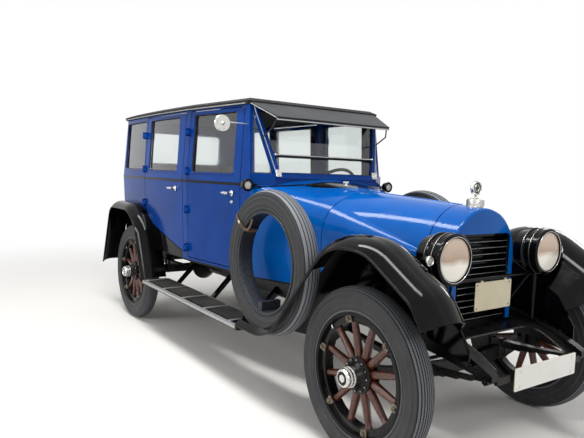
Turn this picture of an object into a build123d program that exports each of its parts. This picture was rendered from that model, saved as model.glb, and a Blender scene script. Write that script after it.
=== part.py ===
from build123d import *
import math
import os

os.makedirs("parts", exist_ok=True)

# A closed five-seat touring saloon of the 1920s, in millimetres.
# X points forward, Y to the car's left, Z up, and the tyres stand on z = 0.
# The origin lies under the middle of the car, between its foremost and rearmost points.

# Chassis and wheels
FRONT_AXLE_X = 1701.0
WHEELBASE = 3235.0
REAR_AXLE_X = FRONT_AXLE_X - WHEELBASE
TRACK = 1422.0
WHEEL_Y = TRACK / 2
TYRE_R = 441.0
TYRE_W = 116.0
TYRE_INNER_R = 306.0
FELLOE_W = 62.0
FELLOE_R = 262.0
RIM_R = 302.0
SPOKES = 12
LUGS = 6
HUB_FLANGE_R = 92.0
HUB_CAP_R = 38.0
HUB_CAP_END_Y = 842.0
SPINDLE_R = 22.0
SPINDLE_PLAY = 0.08
KINGPIN_Y = 626.0
KINGPIN_R = 13.0
EYE_R = 27.0
EYE_HALF_H = 34.0
FORK_T = 24.0
FORK_PLAY = 1.0
HUB_BACK = 38.0
SPINDLE_END = 56.0

# Frame rails and springs
RAIL_Y = 380.0
RAIL_W = 50.0
RAIL_BOTTOM_Z = 565.0
RAIL_TOP_Z = 690.0
HORN_X = FRONT_AXLE_X + 528.0
HORN_Z = 508.0
RAIL_REAR_X = REAR_AXLE_X - 550.0
CROSS_W = 60.0
CROSS_Z = RAIL_BOTTOM_Z + 36.0
CROSS_H = 50.0
LEAF_W = 48.0
LEAF_T = 8.0
LEAVES = 5
FRONT_SPRING_HALF = 500.0
REAR_SPRING_HALF = 535.0
AXLE_BEAM_H = 70.0
AXLE_BEAM_T = 42.0
FRONT_PAD_Z = 432.0
REAR_PAD_Z = 484.0
SPRING_EYE_R = 17.0

# Radiator, hood and cowl: each station is an arch across the car
RADIATOR_FACE_X = FRONT_AXLE_X + 150.0
HOOD_FRONT_X = FRONT_AXLE_X - 20.0
HOOD_REAR_X = FRONT_AXLE_X - 762.0
HOOD_LINE_Z = 1022.0
HOOD_BOTTOM_Z = 706.0
HOOD_SHEET = 6.0
HOOD_SEAM = 6.0
COWL_WALL = 22.0
NOSE_HALF_W = 265.0
NOSE_BOTTOM_Z = CROSS_Z + CROSS_H + 0.3
NOSE_TOP_Z = 1272.0
GRILLE_HALF_W = 219.0
GRILLE_TOP_Z = 1135.0
GRILLE_BOTTOM_Z = NOSE_BOTTOM_Z
GRILLE_CORNER_R = 34.0
SLATS = 14

# Body
BODY_FRONT_X = FRONT_AXLE_X - 1327.0
BODY_REAR_X = FRONT_AXLE_X - 3800.0
BODY_BOTTOM_Z = 705.0
BELT_Z = 1335.0
EAVES_Z = 1893.0
FRONT_HALF_W = 606.0
PILLAR_HALF_W = 698.0
WIDEST_HALF_W = 716.0
REAR_HALF_W = 690.0
PILLAR_X = FRONT_AXLE_X - 2150.0
WIDEST_X = FRONT_AXLE_X - 2900.0
REAR_CORNER_R = 92.0
REAR_BOW = 16.0
TURN_UNDER = 22.0
TUMBLEHOME = 30.0
WALL = 38.0
DOOR_GAP = 7.0
DOOR_BEVEL = 9.0
DOOR_BOTTOM_Z = 728.0
DOOR_TOP_Z = 1874.0
WINDOW_SILL_Z = 1408.0
WINDOW_HEAD_Z = 1848.0
WINDOW_CORNER_R = 22.0
GLASS_T = 6.0
SEAT_GAP = 0.3

# Glass, roof and visor
SCREEN_BASE_X = FRONT_AXLE_X - 1243.0
SCREEN_BASE_Z = 1418.0
SCREEN_TOP_X = FRONT_AXLE_X - 1388.0
SCREEN_TOP_Z = 1884.0
SCREEN_BASE_HALF = 462.0
SCREEN_TOP_HALF = 572.0
SCREEN_POST_W = 40.0
SCREEN_POST_T = 34.0
ROOF_FRONT_X = FRONT_AXLE_X - 1400.0
ROOF_RISE = 62.0
VISOR_FRONT_X = FRONT_AXLE_X - 1156.0
VISOR_FRONT_Z = 1783.0
VISOR_FRONT_HALF = 508.0
VISOR_REAR_HALF = 578.0
VISOR_T = 12.0

# Fenders and running boards
LIP_Y = 845.0
FENDER_T = 7.0
FENDER_CROWN = 62.0
BEAD_R = 7.0
BOARD_Z = 441.0
BOARD_T = 26.0
BOARD_OUTER_Y = 838.0
BOARD_INNER_Y = 598.0
BOARD_FRONT_X = FRONT_AXLE_X - 1040.0
BOARD_REAR_X = FRONT_AXLE_X - 2760.0
LIP_FOOT_Z = BOARD_Z + BEAD_R + SEAT_GAP

# Spare wheels, each standing in a well behind its front fender
SPARE_Y = 748.0
SPARE_Z = BOARD_Z + TYRE_R + 1.0
SPARE_WELL_GAP = 9.0
SPARE_X = {"right": FRONT_AXLE_X - 816.0, "left": FRONT_AXLE_X - 990.0}

# Lamps
LAMP_X = FRONT_AXLE_X + 279.0
LAMP_Y = 396.0
LAMP_Z = 1035.0
LAMP_LENS_R = 107.0
LAMP_BEZEL_R = 128.0
LAMP_DEPTH = 178.0
COWL_LAMP_X = FRONT_AXLE_X - 1272.0
COWL_LAMP_Y = 652.0
COWL_LAMP_R = 41.0

SIDES = (("left", 1.0), ("right", -1.0))


def row(x):
    """Row position of a point given from the front axle, rearwards negative."""
    return FRONT_AXLE_X + x


# The arch across the nose, hood and cowl: straight sides, round shoulders and a flatter crown
def arch(x, half_w, bottom_z, shoulder_z, top_z, corner_r):
    lean_y = half_w - corner_r
    rise = top_z - shoulder_z
    crown_r = (lean_y**2 + rise**2 - corner_r**2) / (2 * (rise - corner_r))
    crown_z = top_z - crown_r
    turn = math.atan2(shoulder_z - crown_z, lean_y)
    hip = (crown_r * math.cos(turn), crown_z + crown_r * math.sin(turn))
    mid = (
        lean_y + corner_r * math.cos(turn / 2),
        shoulder_z + corner_r * math.sin(turn / 2),
    )
    with BuildSketch(Plane.YZ.offset(x)) as section:
        with BuildLine():
            Line((half_w, bottom_z), (half_w, shoulder_z))
            ThreePointArc((half_w, shoulder_z), mid, hip)
            ThreePointArc(hip, (0, top_z), (-hip[0], hip[1]))
            ThreePointArc((-hip[0], hip[1]), (-mid[0], mid[1]), (-half_w, shoulder_z))
            Line((-half_w, shoulder_z), (-half_w, bottom_z))
            Line((-half_w, bottom_z), (half_w, bottom_z))
        make_face()
    return section.sketch


# Stations of the nose and hood: x, half width, shoulder z, top z, corner radius
NOSE_FRONT = (RADIATOR_FACE_X, NOSE_HALF_W, 1010.0, NOSE_TOP_Z, 205.0)
NOSE_REAR = (HOOD_FRONT_X, NOSE_HALF_W, 1018.0, 1282.0, 205.0)
HOOD_REAR = (HOOD_REAR_X, 410.0, 1042.0, 1321.0, 232.0)
COWL_REAR = (BODY_FRONT_X, FRONT_HALF_W, 1298.0, 1400.0, 46.0)


def arch_at(station, bottom_z, inset=0.0, shift=0.0):
    """The arch of one station, drawn in by a wall and moved along X."""
    x, half_w, shoulder_z, top_z, corner_r = station
    return arch(x + shift, half_w - inset, bottom_z, shoulder_z, top_z - inset, corner_r - inset)


# The body's plan outline at one level: x from front to rear, half widths drawn in by the inset
def body_plan(z, inset, front_x, wall=0.0):
    slope = (PILLAR_HALF_W - FRONT_HALF_W) / (BODY_FRONT_X - PILLAR_X)
    draw = inset + wall
    front = (front_x, PILLAR_HALF_W - slope * (front_x - PILLAR_X) - draw)
    pillar = (PILLAR_X, PILLAR_HALF_W - draw)
    widest = (WIDEST_X, WIDEST_HALF_W - draw)
    rear_x = BODY_REAR_X + draw
    corner_r = REAR_CORNER_R + (inset - wall) / 2
    side_end = (rear_x + corner_r, REAR_HALF_W - draw)
    corner = (rear_x + 0.293 * corner_r, REAR_HALF_W - draw - 0.293 * corner_r)
    back = (rear_x, REAR_HALF_W - draw - corner_r)
    with BuildSketch(Plane.XY.offset(z)) as plan:
        with BuildLine():
            Line(front, pillar)
            ThreePointArc(pillar, widest, side_end)
            ThreePointArc(side_end, corner, back)
            ThreePointArc(back, (rear_x - REAR_BOW, 0), (back[0], -back[1]))
            ThreePointArc((back[0], -back[1]), (corner[0], -corner[1]), (side_end[0], -side_end[1]))
            ThreePointArc((side_end[0], -side_end[1]), (widest[0], -widest[1]), (pillar[0], -pillar[1]))
            Line((pillar[0], -pillar[1]), (front[0], -front[1]))
            Line((front[0], -front[1]), front)
        make_face()
    return plan.sketch


def body_form(front_x, wall=0.0):
    """The closed form of the body, from the sill to the eaves, drawn in by a wall."""
    levels = ((BODY_BOTTOM_Z, TURN_UNDER), (BELT_Z, 0.0), (EAVES_Z, TUMBLEHOME))
    with BuildPart() as form:
        loft(sections=[body_plan(z, inset, front_x, wall) for z, inset in levels], ruled=True)
    return form.part


# Door outlines in the side view, from the front lower corner rearwards and up
FRONT_DOOR = [
    (row(-1438), DOOR_BOTTOM_Z),
    (row(-1438), DOOR_TOP_Z),
    (row(-2150), DOOR_TOP_Z),
    (row(-2150), DOOR_BOTTOM_Z),
]
REAR_DOOR = [
    (row(-2242), 762.0),
    (row(-2242), DOOR_TOP_Z),
    (row(-3046), DOOR_TOP_Z),
    (row(-3046), 1066.0),
    (row(-2965), 994.0),
    (row(-2851), 925.0),
]
# Window openings: front x, rear x
FRONT_WINDOW = (row(-1533), row(-2098))
REAR_WINDOW = (row(-2350), row(-2965))
QUARTER_WINDOW = (row(-3085), row(-3668))
BACK_WINDOW_HALF = 420.0
BACK_WINDOW_SILL_Z = 1480.0
BACK_WINDOW_HEAD_Z = 1790.0


def door_block(points, side, gap=0.0):
    """The block that cuts a door out of the wall, its front and rear edges cut on the slant."""
    inner_y = 480.0
    outer_y = 800.0
    front_x = max(x for x, z in points) + gap
    rear_x = min(x for x, z in points) - gap
    low_z = min(z for x, z in points) - gap
    high_z = max(z for x, z in points) + gap
    slant = DOOR_BEVEL / WALL * (outer_y - inner_y)
    with BuildPart() as block:
        with BuildSketch(Plane.XZ.offset(-side * inner_y)):
            Polygon(*points, align=None)
            if gap:
                offset(amount=gap, kind=Kind.INTERSECTION)
        extrude(amount=-side * (outer_y - inner_y))
        with BuildSketch(Plane.XY.offset(low_z)):
            Polygon(
                (front_x, side * (REAR_HALF_W - 40)),
                (front_x - slant, side * (REAR_HALF_W - 40 - (outer_y - inner_y))),
                (rear_x, side * (REAR_HALF_W - 40 - (outer_y - inner_y))),
                (rear_x, side * outer_y),
                (front_x, side * outer_y),
                align=None,
            )
        extrude(amount=high_z - low_z, mode=Mode.INTERSECT)
    return block.part


def window_block(x_front, x_rear, sill_z, head_z, side, y_in=400.0, y_out=900.0):
    """A window opening with round corners, carried through one side of the car."""
    with BuildPart() as block:
        with BuildSketch(Plane.XZ.offset(-side * y_in)):
            with Locations(((x_front + x_rear) / 2, (sill_z + head_z) / 2)):
                RectangleRounded(abs(x_front - x_rear), head_z - sill_z, WINDOW_CORNER_R)
        extrude(amount=-side * (y_out - y_in))
    return block.part


# Lip lines of the fenders in the side view: x and z of each corner, then the corner radii
FRONT_LIP = (
    (BOARD_FRONT_X - 20, LIP_FOOT_Z),
    (row(-691), LIP_FOOT_Z),
    (row(-159), 1074.0),
    (row(119), 1074.0),
    (row(425), 890.0),
    (row(490), 792.0),
)
FRONT_LIP_RADII = (365.0, 300.0, 288.0, 175.0)
REAR_LIP = (
    (row(-2765), BOARD_Z),
    (row(-2975), 925.0),
    (row(-3178), 1032.0),
    (row(-3670), 1032.0),
    (row(-3889), 441.0),
)
REAR_LIP_RADII = (260.0, 300.0, 130.0)
WHEELHOUSE_Y = 632.0


def arch_void(side, growth=FENDER_CROWN + SEAT_GAP, inner_y=WHEELHOUSE_Y - 8, outer_y=900.0):
    """The space under a rear fender, with its crown, that the body leaves free."""
    with BuildPart() as void:
        with BuildSketch(Plane.XZ.offset(-side * inner_y)):
            with BuildLine():
                lip = FilletPolyline(*REAR_LIP, radius=list(REAR_LIP_RADII))
                Polyline(lip @ 1, (REAR_LIP[-1][0], 200.0), (REAR_LIP[0][0], 200.0), lip @ 0)
            make_face()
            if growth:
                offset(amount=growth, kind=Kind.ARC)
        extrude(amount=-side * (outer_y - inner_y))
    return void.part


def valance_block(side):
    """The block of side wall below the rear door's sloping sill."""
    rear_x = min(x for x, z in REAR_DOOR) - DOOR_GAP
    front_x = max(x for x, z in REAR_DOOR) - DOOR_GAP
    top_z = REAR_DOOR[3][1] + DOOR_GAP
    with BuildPart() as block:
        with BuildSketch(Plane.XZ.offset(-side * 500.0)):
            Polygon((rear_x, 600.0), (front_x, 600.0), (front_x, top_z), (rear_x, top_z), align=None)
        extrude(amount=-side * 400.0)
    return block.part


body_outer = body_form(BODY_FRONT_X)
body_inner = body_form(BODY_FRONT_X + WALL, WALL)
pane_shell = body_form(BODY_FRONT_X, (WALL - GLASS_T) / 2) - body_form(BODY_FRONT_X, (WALL + GLASS_T) / 2)
with BuildPart() as cowl_outer:
    loft(sections=[arch_at(HOOD_REAR, BODY_BOTTOM_Z), arch_at(COWL_REAR, BODY_BOTTOM_Z)], ruled=True)

with BuildPart() as body_wall:
    add(body_outer)
    add(body_inner, mode=Mode.SUBTRACT)

HINGE_R = 9.0
HINGE_L = 64.0
HINGE_REACH = 26.0
HINGE_DEPTH = 50.0
KNUCKLE_GAP = 0.5
# Door hinges: x of the pin, y of the pin, lowest and highest hinge, hinge count
HINGES = {
    "front": (row(-2158), 713.0, 800.0, 1720.0, 4),
    "rear": (row(-3053), 728.0, 1110.0, 1720.0, 3),
}


def hinge_knuckle(pin_x, pin_y, low_z, height, toward):
    """One knuckle on a hinge pin, with its leaf let into the wall ahead of or behind the seam."""
    side = math.copysign(1.0, pin_y)
    with BuildPart() as knuckle_form:
        with BuildSketch(Plane.XY.offset(low_z)):
            with Locations((pin_x, pin_y)):
                Circle(HINGE_R)
            Polygon(
                (pin_x, pin_y + side * HINGE_R),
                (pin_x + toward * HINGE_REACH, pin_y - side * HINGE_R),
                (pin_x + toward * HINGE_REACH, pin_y - side * HINGE_DEPTH),
                (pin_x + toward * 12, pin_y - side * HINGE_DEPTH),
                (pin_x + toward * 8, pin_y - side * HINGE_R / 2),
                align=None,
            )
        extrude(amount=height)
    return knuckle_form.part


def hinge_heights(low_z, high_z, count):
    """Heights of the hinges of one door."""
    return [low_z + (high_z - low_z) * step / (count - 1) for step in range(count)]


# Body shell: quarters, back, pillars, sills and cant rails, with the door and window openings
PILLAR_LEAN = 68.0
DOORS = (
    ("front", FRONT_DOOR, FRONT_WINDOW),
    ("rear", REAR_DOOR, REAR_WINDOW),
)
with BuildPart() as body_shell:
    add(body_wall.part)
    for side_name, side in SIDES:
        for door_name, outline, window in DOORS:
            add(door_block(outline, side, DOOR_GAP), mode=Mode.SUBTRACT)
        add(
            window_block(*QUARTER_WINDOW, WINDOW_SILL_Z + 6, WINDOW_HEAD_Z + 4, side),
            mode=Mode.SUBTRACT,
        )
        # Outer knuckles of the door hinges
        for pin_x, pin_y, low_z, high_z, count in HINGES.values():
            for hinge_z in hinge_heights(low_z, high_z, count):
                for knuckle_z in (hinge_z - HINGE_L / 2, hinge_z + HINGE_L / 4 + KNUCKLE_GAP):
                    knuckle_h = HINGE_L / 4 - KNUCKLE_GAP
                    add(hinge_knuckle(pin_x, side * pin_y, knuckle_z, knuckle_h, -1))
        # The wheel arch is cut out below the fender's crown, and the door's sloping sill too
        add(arch_void(side), mode=Mode.SUBTRACT)
        add(valance_block(side), mode=Mode.SUBTRACT)
    # Windscreen pillars lean back with the glass
    with BuildSketch(Plane.XZ.offset(-900.0)):
        Polygon(
            (BODY_FRONT_X, BELT_Z + 10),
            (BODY_FRONT_X - PILLAR_LEAN, EAVES_Z),
            (BODY_FRONT_X - PILLAR_LEAN, EAVES_Z + 10),
            (BODY_FRONT_X + 10, EAVES_Z + 10),
            (BODY_FRONT_X + 10, BELT_Z + 10),
            align=None,
        )
    extrude(amount=1800.0, mode=Mode.SUBTRACT)
    with BuildSketch(Plane.YZ.offset(BODY_REAR_X - 60.0)):
        with Locations((0, (BACK_WINDOW_SILL_Z + BACK_WINDOW_HEAD_Z) / 2)):
            RectangleRounded(2 * BACK_WINDOW_HALF, BACK_WINDOW_HEAD_Z - BACK_WINDOW_SILL_Z, 40)
    extrude(amount=200.0, mode=Mode.SUBTRACT)
body_shell.part.label = "body_shell"
export_step(body_shell.part, "parts/body_shell.step")

# Doors, each hinged at its rear edge: outline and window from the table above
HANDLE_Z = 1267.0
HANDLES = {"front": (row(-1538), 629.0), "rear": (row(-2357), 708.0)}
for side_name, side in SIDES:
    for door_name, outline, window in DOORS:
        hinge_x, hinge_y, low_z, high_z, count = HINGES[door_name]
        handle_x, handle_y = HANDLES[door_name]
        with BuildPart() as door:
            add(body_wall.part)
            add(door_block(outline, side), mode=Mode.INTERSECT)
            add(
                window_block(*window, WINDOW_SILL_Z, WINDOW_HEAD_Z, side),
                mode=Mode.SUBTRACT,
            )
            for hinge_z in hinge_heights(low_z, high_z, count):
                add(hinge_knuckle(hinge_x, side * hinge_y, hinge_z - HINGE_L / 4, HINGE_L / 2, 1))
            # Handle: a boss, a shank and a lever that points forward
            handle_plane = Plane(origin=(handle_x, side * (handle_y - 20), HANDLE_Z), z_dir=(0, side, 0))
            with BuildSketch(handle_plane):
                Circle(19)
            extrude(amount=26)
            with BuildSketch(handle_plane):
                Circle(8)
            extrude(amount=62)
            with BuildSketch(Plane.XY.offset(HANDLE_Z - 9)):
                with Locations((handle_x - 34, side * (handle_y + 36))):
                    RectangleRounded(96, 15, 7)
            extrude(amount=18)
        door.part.label = f"door_{door_name}_{side_name}"
        export_step(door.part, f"parts/door_{door_name}_{side_name}.step")

        # The pane stands in the middle of the door's thickness
        with BuildPart() as pane:
            add(pane_shell)
            add(
                window_block(
                    window[0] - SEAT_GAP,
                    window[1] + SEAT_GAP,
                    WINDOW_SILL_Z + SEAT_GAP,
                    WINDOW_HEAD_Z - SEAT_GAP,
                    side,
                ),
                mode=Mode.INTERSECT,
            )
        pane.part.label = f"door_glass_{door_name}_{side_name}"
        export_step(pane.part, f"parts/door_glass_{door_name}_{side_name}.step")

# Roof: a padded top with a drip edge, crowned both ways
ROOF_LEVELS = ((0.0, 14.0, 0.0), (24.0, 10.0, -4.0), (46.0, 60.0, 34.0), (ROOF_RISE, 190.0, 150.0))
with BuildPart() as roof:
    loft(
        sections=[
            body_plan(EAVES_Z + rise, inset, ROOF_FRONT_X - front_in)
            for rise, inset, front_in in ROOF_LEVELS
        ],
        ruled=True,
    )
roof.part.label = "roof"
export_step(roof.part, "parts/roof.step")

# Cowl: the shell between hood and windscreen, closed at its front by the firewall,
# with a half-moon vent and the rod that the hood's leaves turn on
VENT_X = row(-1224)
VENT_R = 324.0
VENT_REAR_X = row(-1130)
HINGE_PIN_R = 7.0
HINGE_PIN_DROP = 3.0
cowl_inner = loft(
    sections=[
        arch_at(HOOD_REAR, BODY_BOTTOM_Z - 1, COWL_WALL, -COWL_WALL),
        arch_at(COWL_REAR, BODY_BOTTOM_Z - 1, COWL_WALL),
    ],
    ruled=True,
)


def vent_block(inset=0.0):
    """The upright half-moon block of the cowl's vent, straight at its rear."""
    with BuildPart() as block:
        with BuildSketch(Plane.XY.offset(COWL_REAR[2])):
            with Locations((VENT_X, 0)):
                Circle(VENT_R - inset)
            with Locations((VENT_REAR_X + inset + VENT_R, 0)):
                Rectangle(2 * VENT_R, 2 * VENT_R, mode=Mode.INTERSECT)
        extrude(amount=200.0)
    return block.part


rod_rear = Vector(HOOD_REAR_X - 1, 0, HOOD_REAR[3] - HINGE_PIN_DROP)
rod_front = Vector(HOOD_FRONT_X - SEAT_GAP, 0, NOSE_REAR[3] - HINGE_PIN_DROP)
with BuildPart() as cowl:
    add(cowl_outer.part)
    add(cowl_inner, mode=Mode.SUBTRACT)
    add(vent_block(), mode=Mode.SUBTRACT)
    with BuildSketch(Plane(origin=rod_rear, z_dir=rod_front - rod_rear)):
        Circle(HINGE_PIN_R)
    extrude(amount=(rod_front - rod_rear).length)
cowl.part.label = "cowl"
export_step(cowl.part, "parts/cowl.step")

# Lid of the vent, shut
with BuildPart() as cowl_vent:
    add(cowl_outer.part)
    add(cowl_inner, mode=Mode.SUBTRACT)
    add(vent_block(SEAT_GAP), mode=Mode.INTERSECT)
cowl_vent.part.label = "cowl_vent"
export_step(cowl_vent.part, "parts/cowl_vent.step")

# Windscreen: the sill over the cowl, raked posts and header
screen_rise = Vector(SCREEN_TOP_X - SCREEN_BASE_X, 0, SCREEN_TOP_Z - SCREEN_BASE_Z)
screen_up = screen_rise.normalized()
screen_out = Vector(screen_up.Z, 0, -screen_up.X)
screen_plane = Plane(
    origin=(SCREEN_BASE_X, 0, SCREEN_BASE_Z), x_dir=(0, 1, 0), z_dir=screen_out
)
screen_h = screen_rise.length
SPLIT_UP = 128.0
SPLIT_H = 12.0
SPLIT_HALF = 456.0
with BuildPart() as windshield_frame:
    with BuildSketch(screen_plane):
        Polygon(
            (-SCREEN_BASE_HALF, -40),
            (SCREEN_BASE_HALF, -40),
            (SCREEN_TOP_HALF, screen_h),
            (-SCREEN_TOP_HALF, screen_h),
            align=None,
        )
        Polygon(
            (-SCREEN_BASE_HALF + SCREEN_POST_W, 0),
            (SCREEN_BASE_HALF - SCREEN_POST_W, 0),
            (SCREEN_TOP_HALF - SCREEN_POST_W, screen_h - 36),
            (-SCREEN_TOP_HALF + SCREEN_POST_W, screen_h - 36),
            align=None,
            mode=Mode.SUBTRACT,
        )
        with Locations((0, SPLIT_UP)):
            Rectangle(2 * SPLIT_HALF, SPLIT_H)
    extrude(amount=SCREEN_POST_T / 2, both=True)
    # Sill band that carries the posts and the side lights
    with BuildSketch(Plane.XY.offset(1290.0)):
        Polygon(
            (SCREEN_BASE_X + 20, -SCREEN_BASE_HALF - 6),
            (SCREEN_BASE_X + 20, SCREEN_BASE_HALF + 6),
            (BODY_FRONT_X + 6, FRONT_HALF_W),
            (BODY_FRONT_X + 6, FRONT_HALF_W - 40),
            (SCREEN_BASE_X - 22, SCREEN_BASE_HALF - 26),
            (SCREEN_BASE_X - 22, -SCREEN_BASE_HALF + 26),
            (BODY_FRONT_X + 6, -FRONT_HALF_W + 40),
            (BODY_FRONT_X + 6, -FRONT_HALF_W),
            align=None,
        )
    extrude(amount=SCREEN_BASE_Z - 1.3 - 1290.0)
    # Header under the roof's front edge
    with BuildSketch(Plane.XY.offset(EAVES_Z - 40)):
        with Locations((ROOF_FRONT_X + 8, 0)):
            Rectangle(52, 2 * SCREEN_TOP_HALF - 60)
    extrude(amount=40)
    add(cowl_outer.part, mode=Mode.SUBTRACT)
    add(body_wall.part, mode=Mode.SUBTRACT)
windshield_frame.part.label = "windshield_frame"
export_step(windshield_frame.part, "parts/windshield_frame.step")

# Fixed panes: the windscreen, its side lights, the quarters and the back window
with BuildPart() as back_light:
    with BuildSketch(Plane.YZ.offset(BODY_REAR_X - 60.0)):
        with Locations((0, (BACK_WINDOW_SILL_Z + BACK_WINDOW_HEAD_Z) / 2)):
            RectangleRounded(
                2 * BACK_WINDOW_HALF - 2 * SEAT_GAP,
                BACK_WINDOW_HEAD_Z - BACK_WINDOW_SILL_Z - 2 * SEAT_GAP,
                40 - SEAT_GAP,
            )
    extrude(amount=200.0)

# Triangular side lights between the screen posts and the front pillars
side_light = {}
for side_name, side in SIDES:
    light_top_z = EAVES_Z - 40.0
    lean = PILLAR_LEAN / (EAVES_Z - BELT_Z - 10)
    light_front = Vector(SCREEN_BASE_X - 6, side * (SCREEN_BASE_HALF - 8), SCREEN_BASE_Z)
    light_foot = Vector(
        BODY_FRONT_X - lean * (SCREEN_BASE_Z - BELT_Z - 10), side * (FRONT_HALF_W - WALL / 2), SCREEN_BASE_Z
    )
    light_top = Vector(
        BODY_FRONT_X - lean * (light_top_z - BELT_Z - 10),
        side * (FRONT_HALF_W - TUMBLEHOME - WALL / 2),
        light_top_z,
    )
    light_plane = Plane(
        origin=light_foot,
        x_dir=light_front - light_foot,
        z_dir=(light_front - light_foot).cross(light_top - light_foot),
    )
    corners = [light_plane.to_local_coords(p) for p in (light_foot, light_front, light_top)]
    with BuildPart() as light_pane:
        with BuildSketch(light_plane):
            Polygon(*[(p.X, p.Y) for p in corners], align=None)
        extrude(amount=GLASS_T / 2, both=True)
        add(windshield_frame.part, mode=Mode.SUBTRACT)
        add(body_shell.part, mode=Mode.SUBTRACT)
    side_light[side_name] = light_pane.part

with BuildPart() as fixed_glass:
    add(back_light.part)
    for side_name, side in SIDES:
        add(
            window_block(
                QUARTER_WINDOW[0] - SEAT_GAP,
                QUARTER_WINDOW[1] + SEAT_GAP,
                WINDOW_SILL_Z + 6 + SEAT_GAP,
                WINDOW_HEAD_Z + 4 - SEAT_GAP,
                side,
            )
        )
    add(pane_shell, mode=Mode.INTERSECT)
    with BuildSketch(screen_plane):
        Polygon(
            (-SCREEN_BASE_HALF + SCREEN_POST_W + SEAT_GAP, SEAT_GAP),
            (SCREEN_BASE_HALF - SCREEN_POST_W - SEAT_GAP, SEAT_GAP),
            (SCREEN_TOP_HALF - SCREEN_POST_W - SEAT_GAP, screen_h - 36 - SEAT_GAP),
            (-SCREEN_TOP_HALF + SCREEN_POST_W + SEAT_GAP, screen_h - 36 - SEAT_GAP),
            align=None,
        )
        with Locations((0, SPLIT_UP)):
            Rectangle(2 * SCREEN_TOP_HALF, SPLIT_H + 2 * SEAT_GAP, mode=Mode.SUBTRACT)
    extrude(amount=GLASS_T / 2, both=True)
    for side_name, side in SIDES:
        add(side_light[side_name])
fixed_glass.part.label = "fixed_glass"
export_step(fixed_glass.part, "parts/fixed_glass.step")

# Sun visor: a stretched sheet that narrows forward, on bent side stays
STAY_R = 5.0
with BuildPart() as sun_visor:
    visor_drop = Vector(VISOR_FRONT_X - ROOF_FRONT_X, 0, VISOR_FRONT_Z - EAVES_Z)
    visor_plane = Plane(
        origin=(ROOF_FRONT_X + 6, 0, EAVES_Z + 2),
        x_dir=visor_drop,
        z_dir=(-visor_drop.Z, 0, visor_drop.X),
    )
    visor_len = visor_drop.length
    with BuildSketch(visor_plane):
        Polygon(
            (0, -VISOR_REAR_HALF),
            (visor_len, -VISOR_FRONT_HALF),
            (visor_len, VISOR_FRONT_HALF),
            (0, VISOR_REAR_HALF),
            align=None,
        )
    extrude(amount=VISOR_T)
    with BuildSketch(visor_plane.offset(-8)):
        with Locations((visor_len - 7, 0)):
            Rectangle(14, 2 * VISOR_FRONT_HALF)
    extrude(amount=VISOR_T + 10)
    for side_name, side in SIDES:
        post_y = side * (SCREEN_BASE_HALF + (SCREEN_TOP_HALF - SCREEN_BASE_HALF) * 0.52)
        post_at = screen_plane.from_local_coords((post_y, screen_h * 0.52, 0))
        with BuildLine() as stay:
            Polyline(
                (VISOR_FRONT_X - 12, side * (VISOR_FRONT_HALF - 8), VISOR_FRONT_Z + 4),
                (VISOR_FRONT_X - 40, side * (VISOR_FRONT_HALF + 12), VISOR_FRONT_Z - 60),
                (post_at.X + 4, side * abs(post_at.Y) + side * STAY_R, post_at.Z),
            )
        with BuildSketch(Plane(origin=stay.line @ 0, z_dir=stay.line % 0)):
            Circle(STAY_R)
        sweep(path=stay.line, transition=Transition.RIGHT)
    add(windshield_frame.part, mode=Mode.SUBTRACT)
    add(roof.part, mode=Mode.SUBTRACT)
sun_visor.part.label = "sun_visor"
export_step(sun_visor.part, "parts/sun_visor.step")

# The radiator's opening: round at its top corners, open below
def grille_block(x, depth):
    height = GRILLE_TOP_Z - GRILLE_BOTTOM_Z + 3 * GRILLE_CORNER_R
    with BuildPart() as block:
        with BuildSketch(Plane.YZ.offset(x)):
            with Locations((0, GRILLE_TOP_Z - height / 2)):
                RectangleRounded(2 * GRILLE_HALF_W, height, GRILLE_CORNER_R)
        extrude(amount=depth)
    return block.part


# Radiator shell: an arched surround with a rounded front edge
with BuildPart() as radiator_shell:
    loft(sections=[arch_at(NOSE_FRONT, NOSE_BOTTOM_Z), arch_at(NOSE_REAR, NOSE_BOTTOM_Z)], ruled=True)
    front_edges = radiator_shell.faces().sort_by(Axis.X)[-1].edges()
    fillet(front_edges.filter_by(lambda e: e.center().Z > NOSE_BOTTOM_Z + 1), radius=16)
    add(grille_block(HOOD_FRONT_X - 1, RADIATOR_FACE_X - HOOD_FRONT_X + 2), mode=Mode.SUBTRACT)
radiator_shell.part.label = "radiator_shell"
export_step(radiator_shell.part, "parts/radiator_shell.step")

# Radiator core with its row of tilted shutter slats
CORE_BACK_X = HOOD_FRONT_X + 6
CORE_T = 114.0
SLAT_REACH = 42.0
slat_pitch = (GRILLE_TOP_Z - GRILLE_BOTTOM_Z) / SLATS
slat_back_x = CORE_BACK_X + CORE_T - 2
with BuildPart() as radiator_grille:
    with Locations((CORE_BACK_X + CORE_T / 2, 0, (GRILLE_BOTTOM_Z + GRILLE_TOP_Z) / 2)):
        Box(CORE_T, 2 * GRILLE_HALF_W, GRILLE_TOP_Z - GRILLE_BOTTOM_Z)
    for number in range(SLATS):
        slat_z = GRILLE_BOTTOM_Z + slat_pitch * (number + 0.5)
        with BuildSketch(Plane.XZ.offset(-GRILLE_HALF_W)):
            Polygon(
                (slat_back_x, slat_z - 9),
                (slat_back_x + SLAT_REACH, slat_z + 6),
                (slat_back_x + SLAT_REACH, slat_z + 10),
                (slat_back_x, slat_z - 1),
                align=None,
            )
        extrude(amount=2 * GRILLE_HALF_W)
    add(grille_block(CORE_BACK_X, CORE_T + SLAT_REACH + 10), mode=Mode.INTERSECT)
radiator_grille.part.label = "radiator_grille"
export_step(radiator_grille.part, "parts/radiator_grille.step")

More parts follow.
